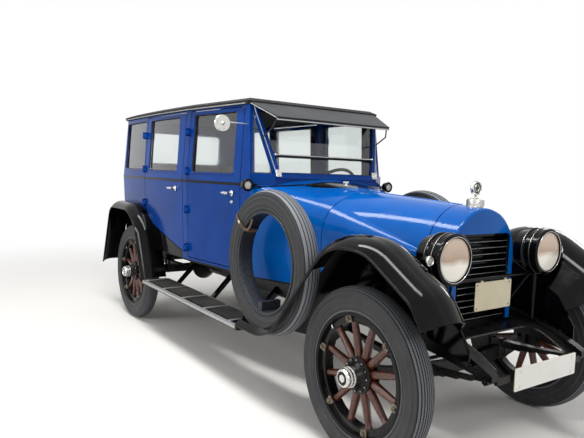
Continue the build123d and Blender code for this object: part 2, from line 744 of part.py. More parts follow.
# Filler cap with its round water gauge
CAP_X = row(71)
CAP_R = 37.0
CAP_Z = 1268.0
GAUGE_R = 41.0
GAUGE_Z = 1378.0
with BuildPart() as radiator_cap:
    with BuildSketch(Plane.XY.offset(CAP_Z)):
        with Locations((CAP_X, 0)):
            Circle(CAP_R)
    extrude(amount=58)
    cap_edges = radiator_cap.edges().group_by(Axis.Z)[-1]
    chamfer(cap_edges, length=5)
    with BuildSketch(Plane.XY.offset(CAP_Z + 50)):
        with Locations((CAP_X, 0)):
            Circle(8)
    extrude(amount=GAUGE_Z - CAP_Z - 50)
    with BuildSketch(Plane.YZ.offset(CAP_X - 10)):
        with Locations((0, GAUGE_Z)):
            Circle(GAUGE_R)
    extrude(amount=20)
    add(radiator_shell.part, mode=Mode.SUBTRACT)
radiator_cap.part.label = "radiator_cap"
export_step(radiator_cap.part, "parts/radiator_cap.step")

# Hood: two top leaves hinged on the centre line, each with a louvred side panel
PANEL_PIN_R = 3.8
LOUVRES = 9
LOUVRE_PITCH = 63.0
LOUVRE_X = row(-140)
with BuildPart() as hood_outer:
    loft(sections=[arch_at(NOSE_REAR, HOOD_BOTTOM_Z), arch_at(HOOD_REAR, HOOD_BOTTOM_Z)], ruled=True)
hood_inner = loft(
    sections=[
        arch_at(NOSE_REAR, HOOD_BOTTOM_Z - 1, HOOD_SHEET),
        arch_at(HOOD_REAR, HOOD_BOTTOM_Z - 1, HOOD_SHEET),
    ],
    ruled=True,
)
with BuildPart() as hood_wall:
    add(hood_outer.part)
    add(hood_inner, mode=Mode.SUBTRACT)
hood_mid_x = (HOOD_FRONT_X + HOOD_REAR_X) / 2
hood_len = HOOD_FRONT_X - HOOD_REAR_X - 2 * HOOD_SEAM
for side_name, side in SIDES:
    with BuildPart() as hood_top:
        add(hood_wall.part)
        with BuildSketch(Plane.XY.offset(HOOD_LINE_Z + PANEL_PIN_R + SEAT_GAP)):
            with Locations((hood_mid_x, side * (HINGE_PIN_R + SEAT_GAP + 250))):
                Rectangle(hood_len, 500)
        extrude(amount=400, mode=Mode.INTERSECT)
    hood_top.part.label = f"hood_{side_name}"
    export_step(hood_top.part, f"parts/hood_{side_name}.step")
    with BuildPart() as hood_side:
        add(hood_wall.part)
        with BuildSketch(Plane.XY.offset(HOOD_BOTTOM_Z)):
            with Locations((hood_mid_x, side * 300)):
                Rectangle(hood_len, 500)
        extrude(amount=HOOD_LINE_Z - 1.5 - HOOD_BOTTOM_Z, mode=Mode.INTERSECT)
        pin_front = Vector(HOOD_FRONT_X, side * (NOSE_REAR[1] - HOOD_SHEET / 2), HOOD_LINE_Z)
        pin_rear = Vector(HOOD_REAR_X, side * (HOOD_REAR[1] - HOOD_SHEET / 2), HOOD_LINE_Z)
        pin_way = (pin_rear - pin_front).normalized()
        with BuildSketch(Plane(origin=pin_front + pin_way * (HOOD_SEAM + 1), z_dir=pin_way)):
            Circle(PANEL_PIN_R)
        extrude(amount=(pin_rear - pin_front).length - 2 * HOOD_SEAM - 2)
        flare = math.degrees(math.atan2(HOOD_REAR[1] - NOSE_REAR[1], HOOD_FRONT_X - HOOD_REAR_X))
        for number in range(LOUVRES):
            louvre_x = LOUVRE_X - LOUVRE_PITCH * number
            share = (HOOD_FRONT_X - louvre_x) / (HOOD_FRONT_X - HOOD_REAR_X)
            louvre_y = side * (NOSE_REAR[1] + (HOOD_REAR[1] - NOSE_REAR[1]) * share)
            with BuildSketch(Plane.XY.offset(800.0)):
                with Locations(Location((louvre_x, louvre_y - side * 2), side * -flare)):
                    Ellipse(17, 9)
            extrude(amount=180)
    hood_side.part.label = f"hood_side_{side_name}"
    export_step(hood_side.part, f"parts/hood_side_{side_name}.step")

# Frame: two rails with curved horns at the front, joined by cross members
CROSS_MEMBERS = (row(70), row(-860), row(-1500), row(-2500), row(-3700))
FRONT_EYE_X = FRONT_AXLE_X + FRONT_SPRING_HALF
SPREADER_Z = HORN_Z - 6.0
SPREADER_H = 36.0
PLATE_LUGS = (-100.0, 140.0)
# Dished pan between the horns, below the radiator, open in front in a round-cornered bay
PAN_T = 8.0
PAN_TOP = ((row(90), 634.0), (row(290), 618.0), (row(480), 524.0))
PAN_BAY_X = row(248)
PAN_BAY_HALF = 293.0
PAN_BAY_R = 80.0
with BuildPart() as pan_sheet:
    with BuildSketch(Plane.XZ.offset(-(RAIL_Y - RAIL_W / 2))):
        with BuildLine():
            ThreePointArc(*PAN_TOP)
            ThreePointArc(*[(x, z - PAN_T) for x, z in PAN_TOP])
            Line(PAN_TOP[0], (PAN_TOP[0][0], PAN_TOP[0][1] - PAN_T))
            Line(PAN_TOP[2], (PAN_TOP[2][0], PAN_TOP[2][1] - PAN_T))
        make_face()
    extrude(amount=2 * RAIL_Y - RAIL_W)
    with BuildSketch(Plane.XY.offset(HORN_Z - 40)):
        with Locations((PAN_BAY_X + 300, 0)):
            RectangleRounded(600, 2 * PAN_BAY_HALF, PAN_BAY_R)
    extrude(amount=200, mode=Mode.SUBTRACT)
front_pan = pan_sheet.part
with BuildPart() as frame:
    for side_name, side in SIDES:
        with BuildSketch(Plane.XZ.offset(-side * (RAIL_Y - RAIL_W / 2))):
            with BuildLine():
                Line((RAIL_REAR_X, RAIL_TOP_Z), (row(-200), RAIL_TOP_Z))
                ThreePointArc((row(-200), RAIL_TOP_Z), (row(240), RAIL_TOP_Z - 46), (HORN_X, HORN_Z + 30))
                Polyline((HORN_X, HORN_Z + 30), (HORN_X, HORN_Z), (FRONT_EYE_X - 30, HORN_Z))
                ThreePointArc(
                    (FRONT_EYE_X - 30, HORN_Z), (row(190), RAIL_BOTTOM_Z - 14), (row(-220), RAIL_BOTTOM_Z)
                )
                Polyline(
                    (row(-220), RAIL_BOTTOM_Z),
                    (RAIL_REAR_X, RAIL_BOTTOM_Z + 30),
                    (RAIL_REAR_X, RAIL_TOP_Z),
                )
            make_face()
            with Locations((FRONT_EYE_X, HORN_Z)):
                Circle(SPRING_EYE_R + SEAT_GAP, mode=Mode.SUBTRACT)
        extrude(amount=-side * RAIL_W)
    for cross_x in CROSS_MEMBERS:
        with BuildSketch(Plane.XY.offset(CROSS_Z)):
            with Locations((cross_x, 0)):
                Rectangle(CROSS_W, 2 * RAIL_Y)
        extrude(amount=CROSS_H)
    add(front_pan)
    # Bar between the horns' tips, with two lugs behind the plate
    with Locations((HORN_X - 14, 0, SPREADER_Z)):
        Box(16, 2 * RAIL_Y - RAIL_W, SPREADER_H)
    for lug_y in PLATE_LUGS:
        with Locations((HORN_X - 2 - SEAT_GAP, lug_y, SPREADER_Z - 6)):
            Box(12, 30, 20)
frame.part.label = "frame"
export_step(frame.part, "parts/frame.step")

# Lamps: two drum headlamps with side lights on a tie bar, and two cowl lamps
BAR_X = row(212)
BAR_Z = 908.0
STAY_Y = 330.0
STAY_ENDS_Z = (986.0, 738.0)
LAMP_STAY_R = 6.0
SIDE_LAMP_R = 25.0
SIDE_LAMP_X = LAMP_X - 20.0
SIDE_LAMP_Y = LAMP_Y + LAMP_BEZEL_R + 26.0
SIDE_LAMP_Z = LAMP_Z + 1.0
with BuildPart() as lamps:
    for side_name, side in SIDES:
        lamp_axis = Axis((LAMP_X, side * LAMP_Y, LAMP_Z), (1, 0, 0))
        drum_plane = Plane(
            origin=(lamp_axis.position.X, lamp_axis.position.Y, LAMP_Z), x_dir=(1, 0, 0), z_dir=(0, -1, 0)
        )
        with BuildSketch(drum_plane):
            with BuildLine():
                Polyline(
                    (-LAMP_DEPTH, 0),
                    (-LAMP_DEPTH, 70),
                    (-LAMP_DEPTH + 22, 106),
                    (-96, 118),
                    (-92, 124),
                    (-84, 124),
                    (-80, 119),
                    (-44, 120),
                    (-40, 127),
                    (-6, LAMP_BEZEL_R),
                    (4, LAMP_LENS_R + 6),
                    (4, LAMP_LENS_R),
                    (-10, LAMP_LENS_R),
                    (-104, 20),
                    (-104, 0),
                    close=True,
                )
            make_face()
        revolve(axis=lamp_axis)
        # Post from the drum down to the frame rail, and the side light on its arm
        with BuildSketch(Plane.XY.offset(RAIL_BOTTOM_Z + 40)):
            with Locations((BAR_X, side * RAIL_Y)):
                Circle(15)
        extrude(amount=LAMP_Z - 112 - RAIL_BOTTOM_Z - 40)
        side_at = (SIDE_LAMP_X, side * SIDE_LAMP_Y, SIDE_LAMP_Z)
        with BuildSketch(Plane(origin=side_at, x_dir=(1, 0, 0), z_dir=(0, -1, 0))):
            Polygon((-54, 0), (-48, 15), (-26, 23), (0, SIDE_LAMP_R), (0, 20), (-6, 20), (-6, 0), align=None)
        revolve(axis=Axis(side_at, (1, 0, 0)))
        with BuildSketch(Plane.XZ.offset(-side * (LAMP_Y + 108))):
            with Locations((SIDE_LAMP_X - 24, SIDE_LAMP_Z)):
                Circle(8)
        extrude(amount=-side * (SIDE_LAMP_Y - LAMP_Y - 120))
        # Cowl lamp at the belt, on an arm from the cowl's side
        cowl_axis = Axis((COWL_LAMP_X, side * COWL_LAMP_Y, BELT_Z), (1, 0, 0))
        cowl_plane = Plane(
            origin=(COWL_LAMP_X, side * COWL_LAMP_Y, BELT_Z), x_dir=(1, 0, 0), z_dir=(0, -1, 0)
        )
        with BuildSketch(cowl_plane):
            Polygon(
                (-68, 0), (-62, 22), (-40, 36), (0, COWL_LAMP_R), (0, 33), (-7, 33), (-7, 0), align=None
            )
        revolve(axis=cowl_axis)
        with BuildSketch(Plane.XZ.offset(-side * 540.0)):
            with Locations((COWL_LAMP_X - 30, BELT_Z)):
                Circle(9)
        extrude(amount=-side * (COWL_LAMP_Y - 540.0))
        # Two stays from the tie bar to the radiator shell
        stay_foot = Vector(BAR_X, side * STAY_Y, BAR_Z)
        for stay_z in STAY_ENDS_Z:
            stay_end = Vector(RADIATOR_FACE_X - 14, side * (NOSE_HALF_W - 4), stay_z)
            with BuildSketch(Plane(origin=stay_foot, z_dir=stay_end - stay_foot)):
                Circle(LAMP_STAY_R)
            extrude(amount=(stay_end - stay_foot).length)
    with BuildSketch(Plane.XZ.offset(-LAMP_Y)):
        with Locations((BAR_X, BAR_Z)):
            Circle(10)
    extrude(amount=2 * LAMP_Y)
    add(radiator_shell.part, mode=Mode.SUBTRACT)
    add(cowl_outer.part, mode=Mode.SUBTRACT)
    add(windshield_frame.part, mode=Mode.SUBTRACT)
    add(frame.part, mode=Mode.SUBTRACT)
lamps.part.label = "lamps"
export_step(lamps.part, "parts/lamps.step")

# Lenses of all the lamps
with BuildPart() as lamp_lenses:
    for side_name, side in SIDES:
        # Lens places: back face x, y, z, radius, thickness
        lens_table = (
            (LAMP_X - 9, side * LAMP_Y, LAMP_Z, LAMP_LENS_R - SEAT_GAP, 9.0),
            (SIDE_LAMP_X - 6 + SEAT_GAP, side * SIDE_LAMP_Y, SIDE_LAMP_Z, 20 - SEAT_GAP, 9.0),
            (COWL_LAMP_X - 7 + SEAT_GAP, side * COWL_LAMP_Y, BELT_Z, 33 - SEAT_GAP, 10.0),
        )
        for x, y, z, lens_r, lens_t in lens_table:
            with BuildSketch(Plane.YZ.offset(x)):
                with Locations((y, z)):
                    Circle(lens_r)
            extrude(amount=lens_t)
lamp_lenses.part.label = "lamp_lenses"
export_step(lamp_lenses.part, "parts/lamp_lenses.step")


# A fender's sheet: from the beaded lip over the crown and in to its inner edge
def fender_section(plane, side, skirt_y, skirt_drop):
    """Cross-section of a fender, drawn on a plane that stands at the lip's first point."""
    crown = FENDER_CROWN
    outer = ((0, 0), (32, 0.62 * crown), (104, crown), (196, 0.9 * crown), (285, -12.0))
    t = FENDER_T
    reach = LIP_Y - skirt_y
    with BuildSketch(plane) as section:
        with BuildLine():
            if skirt_drop:
                ThreePointArc(outer[0], outer[1], outer[2])
                ThreePointArc(outer[2], outer[3], outer[4])
                Polyline(
                    outer[4],
                    (reach, -skirt_drop),
                    (reach - t, -skirt_drop),
                    (outer[4][0] - t, outer[4][1] - t),
                )
                ThreePointArc(
                    (outer[4][0] - t, outer[4][1] - t),
                    (outer[3][0], outer[3][1] - t),
                    (outer[2][0], outer[2][1] - t),
                )
            else:
                ThreePointArc(outer[0], outer[1], outer[2])
                Polyline(
                    outer[2], (reach, crown), (reach, crown - t), (outer[2][0], outer[2][1] - t)
                )
            ThreePointArc((outer[2][0], outer[2][1] - t), (outer[1][0] + t, outer[1][1] - t), (t, 0))
            Line((t, 0), (0, 0))
        make_face()
        with Locations((BEAD_R - 2, 0)):
            Circle(BEAD_R)
    return section.sketch


def lip_wire(points, radii, side):
    """The lip line of a fender, on the plane of its outer edge."""
    with BuildLine(Plane.XZ.offset(-side * LIP_Y)) as lip:
        FilletPolyline(*points, radius=list(radii))
    return lip.line


SKIRT_DROP = 140.0
VALANCE_Y = 438.0
VALANCE_T = FENDER_T + 3
VALANCE_REAR_X = row(-600)
VALANCE_FRONT_X = row(430)
FLANGE_DROP = 14.0
FLANGE_T = 6.0
valance = {}
flange = {}


def above_rail(drop, side, near_y, far_y):
    """The space above a line that follows the rail's top at a given drop, between two upright planes."""
    high_z = 1300.0
    with BuildPart() as space:
        with BuildSketch(Plane.XZ.offset(-side * near_y)):
            with BuildLine():
                Polyline(
                    (HORN_X, HORN_Z + 30 - drop),
                    (HORN_X, high_z),
                    (VALANCE_REAR_X, high_z),
                    (VALANCE_REAR_X, RAIL_TOP_Z - drop),
                    (row(-200), RAIL_TOP_Z - drop),
                )
                ThreePointArc(
                    (row(-200), RAIL_TOP_Z - drop),
                    (row(240), RAIL_TOP_Z - 46 - drop),
                    (HORN_X, HORN_Z + 30 - drop),
                )
            make_face()
            with Locations(((VALANCE_REAR_X + VALANCE_FRONT_X) / 2, high_z / 2)):
                Rectangle(VALANCE_FRONT_X - VALANCE_REAR_X, high_z, mode=Mode.INTERSECT)
        extrude(amount=-side * (far_y - near_y))
    return space.part


def below_skirt(side):
    """The upright wall below a front fender's skirt, carried on past the fender's front end."""
    tip = Vector(*FRONT_LIP[-1])
    past_tip = tip + (tip - Vector(*FRONT_LIP[-2])) * 3
    with BuildPart() as wall:
        with BuildSketch(Plane.XZ.offset(-side * VALANCE_Y)):
            with BuildLine():
                edge = FilletPolyline(*FRONT_LIP, radius=list(FRONT_LIP_RADII))
                Polyline(edge @ 1, (past_tip.X, past_tip.Y), (past_tip.X, 200.0), (FRONT_LIP[0][0], 200.0), edge @ 0)
            make_face()
            offset(amount=-SKIRT_DROP + 4, kind=Kind.ARC)
        extrude(amount=-side * VALANCE_T)
    return wall.part


rail_side_y = RAIL_Y + RAIL_W / 2 + SEAT_GAP
for side_name, side in SIDES:
    drop = FLANGE_DROP + FLANGE_T
    valance[side_name] = below_skirt(side) & above_rail(drop, side, VALANCE_Y, VALANCE_Y + VALANCE_T)
    # Flange along the rail, which carries the valance
    flange[side_name] = above_rail(drop, side, rail_side_y, VALANCE_Y + 1) - above_rail(
        FLANGE_DROP, side, rail_side_y, VALANCE_Y + 1
    )

with BuildPart() as front_fenders:
    for side_name, side in SIDES:
        lip = lip_wire(FRONT_LIP, FRONT_LIP_RADII, side)
        start = Plane(origin=lip @ 0, x_dir=(0, -side, 0), z_dir=(-side, 0, 0))
        sweep(sections=fender_section(start, side, VALANCE_Y + FENDER_T, SKIRT_DROP), path=lip)
        # Valance from the skirt down to the frame rail
        add(valance[side_name])
        add(flange[side_name])
        # The skirt ends level with the running board
        with Locations((FRONT_AXLE_X - 600, side * 600, BOARD_Z - 200)):
            Box(1400, 600, 400, mode=Mode.SUBTRACT)
        # Well for the spare wheel
        with BuildSketch(Plane.XZ.offset(-side * (SPARE_Y - TYRE_W / 2 - SPARE_WELL_GAP))):
            with Locations((SPARE_X[side_name], SPARE_Z)):
                Circle(TYRE_R + SPARE_WELL_GAP)
        extrude(amount=-side * (TYRE_W + 2 * SPARE_WELL_GAP), mode=Mode.SUBTRACT)
front_fenders.part.label = "front_fenders"
export_step(front_fenders.part, "parts/front_fenders.step")

# Inner walls of the wheelhouses, and the black valances below the rear doors' sloping sills
wheelhouse = {}
sill_valance = {}
for side_name, side in SIDES:
    wall_face = arch_void(side, FENDER_CROWN - 1, WHEELHOUSE_Y - FENDER_T, WHEELHOUSE_Y)
    house_x = (REAR_LIP[0][0] + BODY_REAR_X) / 2
    house_l = REAR_LIP[0][0] - BODY_REAR_X
    wheelhouse[side_name] = wall_face & Pos(house_x, 0, RAIL_TOP_Z + 250) * Box(house_l, 1800, 500)
    sill_valance[side_name] = (
        (body_wall.part & valance_block(side))
        - door_block(REAR_DOOR, side, DOOR_GAP)
        - arch_void(side, FENDER_CROWN - 1)
    )

with BuildPart() as rear_fenders:
    for side_name, side in SIDES:
        lip = lip_wire(REAR_LIP, REAR_LIP_RADII, side)
        start = Plane(origin=lip @ 0, x_dir=(0, -side, 0), z_dir=(lip % 0) * side)
        sweep(sections=fender_section(start, side, WHEELHOUSE_Y, 0.0), path=lip)
        add(wheelhouse[side_name])
        add(sill_valance[side_name])
rear_fenders.part.label = "rear_fenders"
export_step(rear_fenders.part, "parts/rear_fenders.step")

# Running boards on their brackets
BRACKET_X = (row(-1250), row(-1900), row(-2560))
MAT_FRONT_X = row(-1180)
MAT_REAR_X = row(-2690)
MAT_EDGE = 22.0
MAT_T = 4.0
with BuildPart() as running_boards:
    for side_name, side in SIDES:
        board_mid_y = side * (BOARD_OUTER_Y + BOARD_INNER_Y) / 2
        with BuildSketch(Plane.XY.offset(BOARD_Z - BOARD_T)):
            with Locations(((BOARD_FRONT_X + BOARD_REAR_X) / 2, board_mid_y)):
                RectangleRounded(BOARD_FRONT_X - BOARD_REAR_X, BOARD_OUTER_Y - BOARD_INNER_Y, 20)
        extrude(amount=BOARD_T)
        with BuildSketch(Plane.XY.offset(BOARD_Z)):
            with Locations(((MAT_FRONT_X + MAT_REAR_X) / 2, board_mid_y)):
                Rectangle(MAT_FRONT_X - MAT_REAR_X, BOARD_OUTER_Y - BOARD_INNER_Y - 2 * MAT_EDGE)
        extrude(amount=MAT_T)
        for bracket_x in BRACKET_X:
            with BuildSketch(Plane.YZ.offset(bracket_x - 20)):
                Polygon(
                    (side * (RAIL_Y + RAIL_W / 2), RAIL_BOTTOM_Z + 60),
                    (side * (BOARD_INNER_Y + 10), BOARD_Z - BOARD_T),
                    (side * (BOARD_OUTER_Y - 60), BOARD_Z - BOARD_T),
                    (side * (BOARD_OUTER_Y - 60), BOARD_Z - BOARD_T - 14),
                    (side * (BOARD_INNER_Y - 10), BOARD_Z - BOARD_T - 14),
                    (side * (RAIL_Y + RAIL_W / 2), RAIL_BOTTOM_Z + 20),
                    align=None,
                )
            extrude(amount=40)
running_boards.part.label = "running_boards"
export_step(running_boards.part, "parts/running_boards.step")

# Leaf springs: front and rear pairs, each a stack that shortens downwards
# Columns: centre x, half length, eye z, z of the lowest leaf's underside at the axle
SPRINGS = (
    (FRONT_AXLE_X, FRONT_SPRING_HALF, HORN_Z + LEAF_T / 2, FRONT_PAD_Z),
    (REAR_AXLE_X, REAR_SPRING_HALF, 548.0, REAR_PAD_Z),
)
with BuildPart() as springs:
    for side_name, side in SIDES:
        for centre_x, half, eye_z, pad_z in SPRINGS:
            low_z = pad_z + LEAVES * LEAF_T
            for leaf in range(LEAVES):
                share = 1 - leaf / (LEAVES + 1)
                leaf_top = low_z - LEAF_T * leaf
                end_z = leaf_top + (eye_z - low_z) * share**2
                with BuildSketch(Plane.XZ.offset(-side * RAIL_Y + LEAF_W / 2)):
                    with BuildLine():
                        ThreePointArc(
                            (centre_x - half * share, end_z),
                            (centre_x, leaf_top),
                            (centre_x + half * share, end_z),
                        )
                        Line((centre_x + half * share, end_z), (centre_x + half * share, end_z - LEAF_T))
                        ThreePointArc(
                            (centre_x + half * share, end_z - LEAF_T),
                            (centre_x, leaf_top - LEAF_T),
                            (centre_x - half * share, end_z - LEAF_T),
                        )
                        Line((centre_x - half * share, end_z - LEAF_T), (centre_x - half * share, end_z))
                    make_face()
                extrude(amount=-LEAF_W)
            for end in (-1, 1):
                with BuildSketch(Plane.XZ.offset(-side * RAIL_Y + LEAF_W / 2)):
                    with Locations((centre_x + end * half, eye_z - LEAF_T / 2)):
                        Circle(SPRING_EYE_R)
                extrude(amount=-LEAF_W)
                # Shackle or hanger from the eye up to the rail
                if (centre_x, end) != (FRONT_AXLE_X, 1):
                    with BuildSketch(Plane.XY.offset(eye_z)):
                        with Locations((centre_x + end * half, side * RAIL_Y)):
                            Rectangle(26, RAIL_W - 8)
                    extrude(amount=RAIL_BOTTOM_Z + 60 - eye_z)
    add(frame.part, mode=Mode.SUBTRACT)
springs.part.label = "springs"
export_step(springs.part, "parts/springs.step")

# Front axle: a dropped forging between the king pins
BEAM_END = (KINGPIN_Y - 52.0, TYRE_R - 31.0)
with BuildPart() as front_axle:
    with BuildSketch(Plane.YZ.offset(FRONT_AXLE_X - AXLE_BEAM_T / 2)):
        with BuildLine():
            Polyline(
                (-KINGPIN_Y, TYRE_R + 28),
                (-KINGPIN_Y, BEAM_END[1]),
                (-BEAM_END[0], BEAM_END[1]),
                (-RAIL_Y - 70, FRONT_PAD_Z - AXLE_BEAM_H),
            )
            ThreePointArc(
                (-RAIL_Y - 70, FRONT_PAD_Z - AXLE_BEAM_H),
                (0, FRONT_PAD_Z - AXLE_BEAM_H - 26),
                (RAIL_Y + 70, FRONT_PAD_Z - AXLE_BEAM_H),
            )
            Polyline(
                (RAIL_Y + 70, FRONT_PAD_Z - AXLE_BEAM_H),
                BEAM_END,
                (KINGPIN_Y, BEAM_END[1]),
                (KINGPIN_Y, TYRE_R + 28),
                (RAIL_Y + 60, FRONT_PAD_Z),
                (RAIL_Y - 60, FRONT_PAD_Z),
            )
            ThreePointArc(
                (RAIL_Y - 60, FRONT_PAD_Z), (0, FRONT_PAD_Z - 22), (-RAIL_Y + 60, FRONT_PAD_Z)
            )
            Polyline((-RAIL_Y + 60, FRONT_PAD_Z), (-RAIL_Y - 60, FRONT_PAD_Z), (-KINGPIN_Y, TYRE_R + 28))
        make_face()
    extrude(amount=AXLE_BEAM_T)
    for side_name, side in SIDES:
        with BuildSketch(Plane.XY.offset(TYRE_R - EYE_HALF_H)):
            with Locations((FRONT_AXLE_X, side * KINGPIN_Y)):
                Circle(EYE_R)
        extrude(amount=2 * EYE_HALF_H)
        with BuildSketch(Plane.XY.offset(TYRE_R - EYE_HALF_H - 1)):
            with Locations((FRONT_AXLE_X, side * KINGPIN_Y)):
                Circle(KINGPIN_R + SPINDLE_PLAY)
        extrude(amount=2 * EYE_HALF_H + 2, mode=Mode.SUBTRACT)
front_axle.part.label = "front_axle"
export_step(front_axle.part, "parts/front_axle.step")

# Rear axle: tube, differential, brake backing plates, spindles and torque tube
BACKING_R = 172.0
with BuildPart() as rear_axle:
    with BuildSketch(Plane.XZ.offset(WHEEL_Y - HUB_BACK - 8)):
        with Locations((REAR_AXLE_X, TYRE_R)):
            Circle(41)
    extrude(amount=-2 * (WHEEL_Y - HUB_BACK - 8))
    with BuildSketch(Plane.XZ.offset(WHEEL_Y + SPINDLE_END)):
        with Locations((REAR_AXLE_X, TYRE_R)):
            Circle(SPINDLE_R)
    extrude(amount=-2 * (WHEEL_Y + SPINDLE_END))
    for side_name, side in SIDES:
        with BuildSketch(Plane.XZ.offset(-side * (WHEEL_Y - HUB_BACK - 42))):
            with Locations((REAR_AXLE_X, TYRE_R)):
                Circle(BACKING_R)
        extrude(amount=-side * 34)
        with BuildSketch(Plane.XY.offset(TYRE_R)):
            with Locations((REAR_AXLE_X, side * RAIL_Y)):
                Rectangle(110, LEAF_W)
        extrude(amount=REAR_PAD_Z - TYRE_R)
    with BuildSketch(Plane.YZ.offset(REAR_AXLE_X - 120)):
        with Locations((0, TYRE_R)):
            Circle(60)
    with BuildSketch(Plane.YZ.offset(REAR_AXLE_X)):
        with Locations((0, TYRE_R)):
            Circle(132)
    with BuildSketch(Plane.YZ.offset(REAR_AXLE_X + 150)):
        with Locations((0, TYRE_R)):
            Circle(52)
    loft(ruled=True)
    with BuildSketch(Plane.YZ.offset(REAR_AXLE_X + 150)):
        with Locations((0, TYRE_R)):
            Circle(38)
    extrude(amount=WHEELBASE - 150 - 1400)
rear_axle.part.label = "rear_axle"
export_step(rear_axle.part, "parts/rear_axle.step")

# Engine and gearbox, one plain block on the cross members
with BuildPart() as engine_block:
    with BuildSketch(Plane.XZ.offset(-150.0)):
        Polygon(
            (row(-90), 655.0),
            (row(-90), 1020.0),
            (row(-700), 1020.0),
            (row(-740), RAIL_TOP_Z - 3),
            (row(-1395), 640.0),
            (row(-1395), 470.0),
            (row(-1000), 400.0),
            (row(-900), 655.0 - 54),
            (row(-820), 655.0 - 54),
            (row(-800), 470.0),
            (row(-180), 470.0),
            align=None,
        )
    extrude(amount=300.0)
    add(frame.part, mode=Mode.SUBTRACT)
    add(rear_axle.part, mode=Mode.SUBTRACT)
engine_block.part.label = "engine_block"
export_step(engine_block.part, "parts/engine_block.step")

# Fuel tank slung between the rails behind the axle
with BuildPart() as fuel_tank:
    with BuildSketch(Plane.XZ.offset(-330.0)):
        with Locations((row(-3560), 580.0)):
            RectangleRounded(230, 208, 60)
    extrude(amount=660.0)
    add(frame.part, mode=Mode.SUBTRACT)
fuel_tank.part.label = "fuel_tank"
export_step(fuel_tank.part, "parts/fuel_tank.step")

# Floor boards under the cabin and the cowl
FLOOR_T = 14.9
with BuildPart() as floor:
    with BuildSketch(Plane.XY.offset(RAIL_TOP_Z)):
        add(body_plan(RAIL_TOP_Z, TURN_UNDER + 4, BODY_FRONT_X).face())
        Polygon(
            (HOOD_REAR_X, HOOD_REAR[1] - 4),
            (BODY_FRONT_X, FRONT_HALF_W - TURN_UNDER - 4),
            (BODY_FRONT_X, -FRONT_HALF_W + TURN_UNDER + 4),
            (HOOD_REAR_X, -HOOD_REAR[1] + 4),
            align=None,
        )
    extrude(amount=FLOOR_T)
    for side_name, side in SIDES:
        add(arch_void(side, FENDER_CROWN + 1.5), mode=Mode.SUBTRACT)
        add(valance_block(side), mode=Mode.SUBTRACT)
floor.part.label = "floor"
export_step(floor.part, "parts/floor.step")

# Seats: a box base, a cushion and a raked back, in leather
# Columns: name, rear x, cushion depth, base z, cushion top z, back top z, half width
SEATS = (
    ("front_seat", row(-2225), 500.0, RAIL_TOP_Z + FLOOR_T + 0.1, 1035.0, 1440.0, 560.0),
    ("rear_seat", row(-3715), 560.0, RAIL_TOP_Z + FLOOR_T + 0.1, 1045.0, 1500.0, 560.0),
)
for seat_name, rear_x, depth, base_z, cushion_z, back_z, half_w in SEATS:
    with BuildPart() as seat:
        with BuildSketch(Plane.XZ.offset(-half_w)):
            with BuildLine():
                Polyline(
                    (rear_x + 60, base_z),
                    (rear_x + 60 + depth, base_z),
                    (rear_x + 60 + depth, cushion_z - 120),
                    (rear_x + 110 + depth, cushion_z - 110),
                    (rear_x + 116 + depth, cushion_z - 30),
                    (rear_x + 90 + depth, cushion_z),
                    (rear_x + 200, cushion_z - 20),
                    (rear_x + 110, back_z - 30),
                    (rear_x + 80, back_z),
                    (rear_x + 30, back_z),
                    (rear_x + 4, back_z - 30),
                    (rear_x + 40, base_z + 200),
                    (rear_x + 60, base_z),
                )
            make_face()
        extrude(amount=2 * half_w)
    seat.part.label = seat_name
    export_step(seat.part, f"parts/{seat_name}.step")

# Dashboard with the steering column
COLUMN_TOP = (row(-1620), 345.0, 1290.0)
COLUMN_LEAN = 38.0
WHEEL_RIM_R = 214.0
column_dir = Vector(
    math.cos(math.radians(COLUMN_LEAN)), 0, -math.sin(math.radians(COLUMN_LEAN))
)
COLUMN_R = 20.0
SHAFT_R = 12.0
SHAFT_END = 4.0
DASH_X = row(-1366)
dash_panel = extrude(arch(DASH_X, FRONT_HALF_W - WALL - 1, 1150.0, 1290.0, 1376.0, 44.0), amount=20)
with BuildPart() as dashboard:
    add(dash_panel)
    with BuildSketch(Plane.YZ.offset(DASH_X)):
        with Locations((COLUMN_TOP[1], 1110.0)):
            Rectangle(70, 100)
    extrude(amount=20)
    column_plane = Plane(origin=COLUMN_TOP, z_dir=column_dir)
    with BuildSketch(column_plane.offset(SHAFT_END)):
        Circle(SHAFT_R)
    extrude(amount=40)
    with BuildSketch(column_plane.offset(36)):
        Circle(COLUMN_R)
    extrude(amount=680)
    add(body_shell.part, mode=Mode.SUBTRACT)
    add(cowl.part, mode=Mode.SUBTRACT)
    add(floor.part, mode=Mode.SUBTRACT)
dashboard.part.label = "dashboard"
export_step(dashboard.part, "parts/dashboard.step")

# Steering wheel: rim, four spokes and a hub on the column
with BuildPart() as steering_wheel:
    rim_plane = Plane(origin=COLUMN_TOP, x_dir=(0, 1, 0), z_dir=column_dir)
    rim_centre = rim_plane.from_local_coords((WHEEL_RIM_R, 0, -8))
    with BuildSketch(Plane(origin=rim_centre, x_dir=rim_plane.x_dir, z_dir=rim_plane.y_dir)):
        Circle(13)
    revolve(axis=Axis(COLUMN_TOP, column_dir))
    with BuildSketch(rim_plane.offset(-24)):
        Circle(30)
    extrude(amount=54)
    with BuildSketch(rim_plane.offset(SHAFT_END - 2)):
        Circle(SHAFT_R + SPINDLE_PLAY)
    extrude(amount=40, mode=Mode.SUBTRACT)
    for turn in range(4):
        with BuildSketch(rim_plane.offset(-12)):
            with Locations(Location((0, 0), 45 + 90 * turn)):
                with Locations((WHEEL_RIM_R / 2 + 12, 0)):
                    Rectangle(WHEEL_RIM_R - 30, 18)
        extrude(amount=10)
steering_wheel.part.label = "steering_wheel"
export_step(steering_wheel.part, "parts/steering_wheel.step")

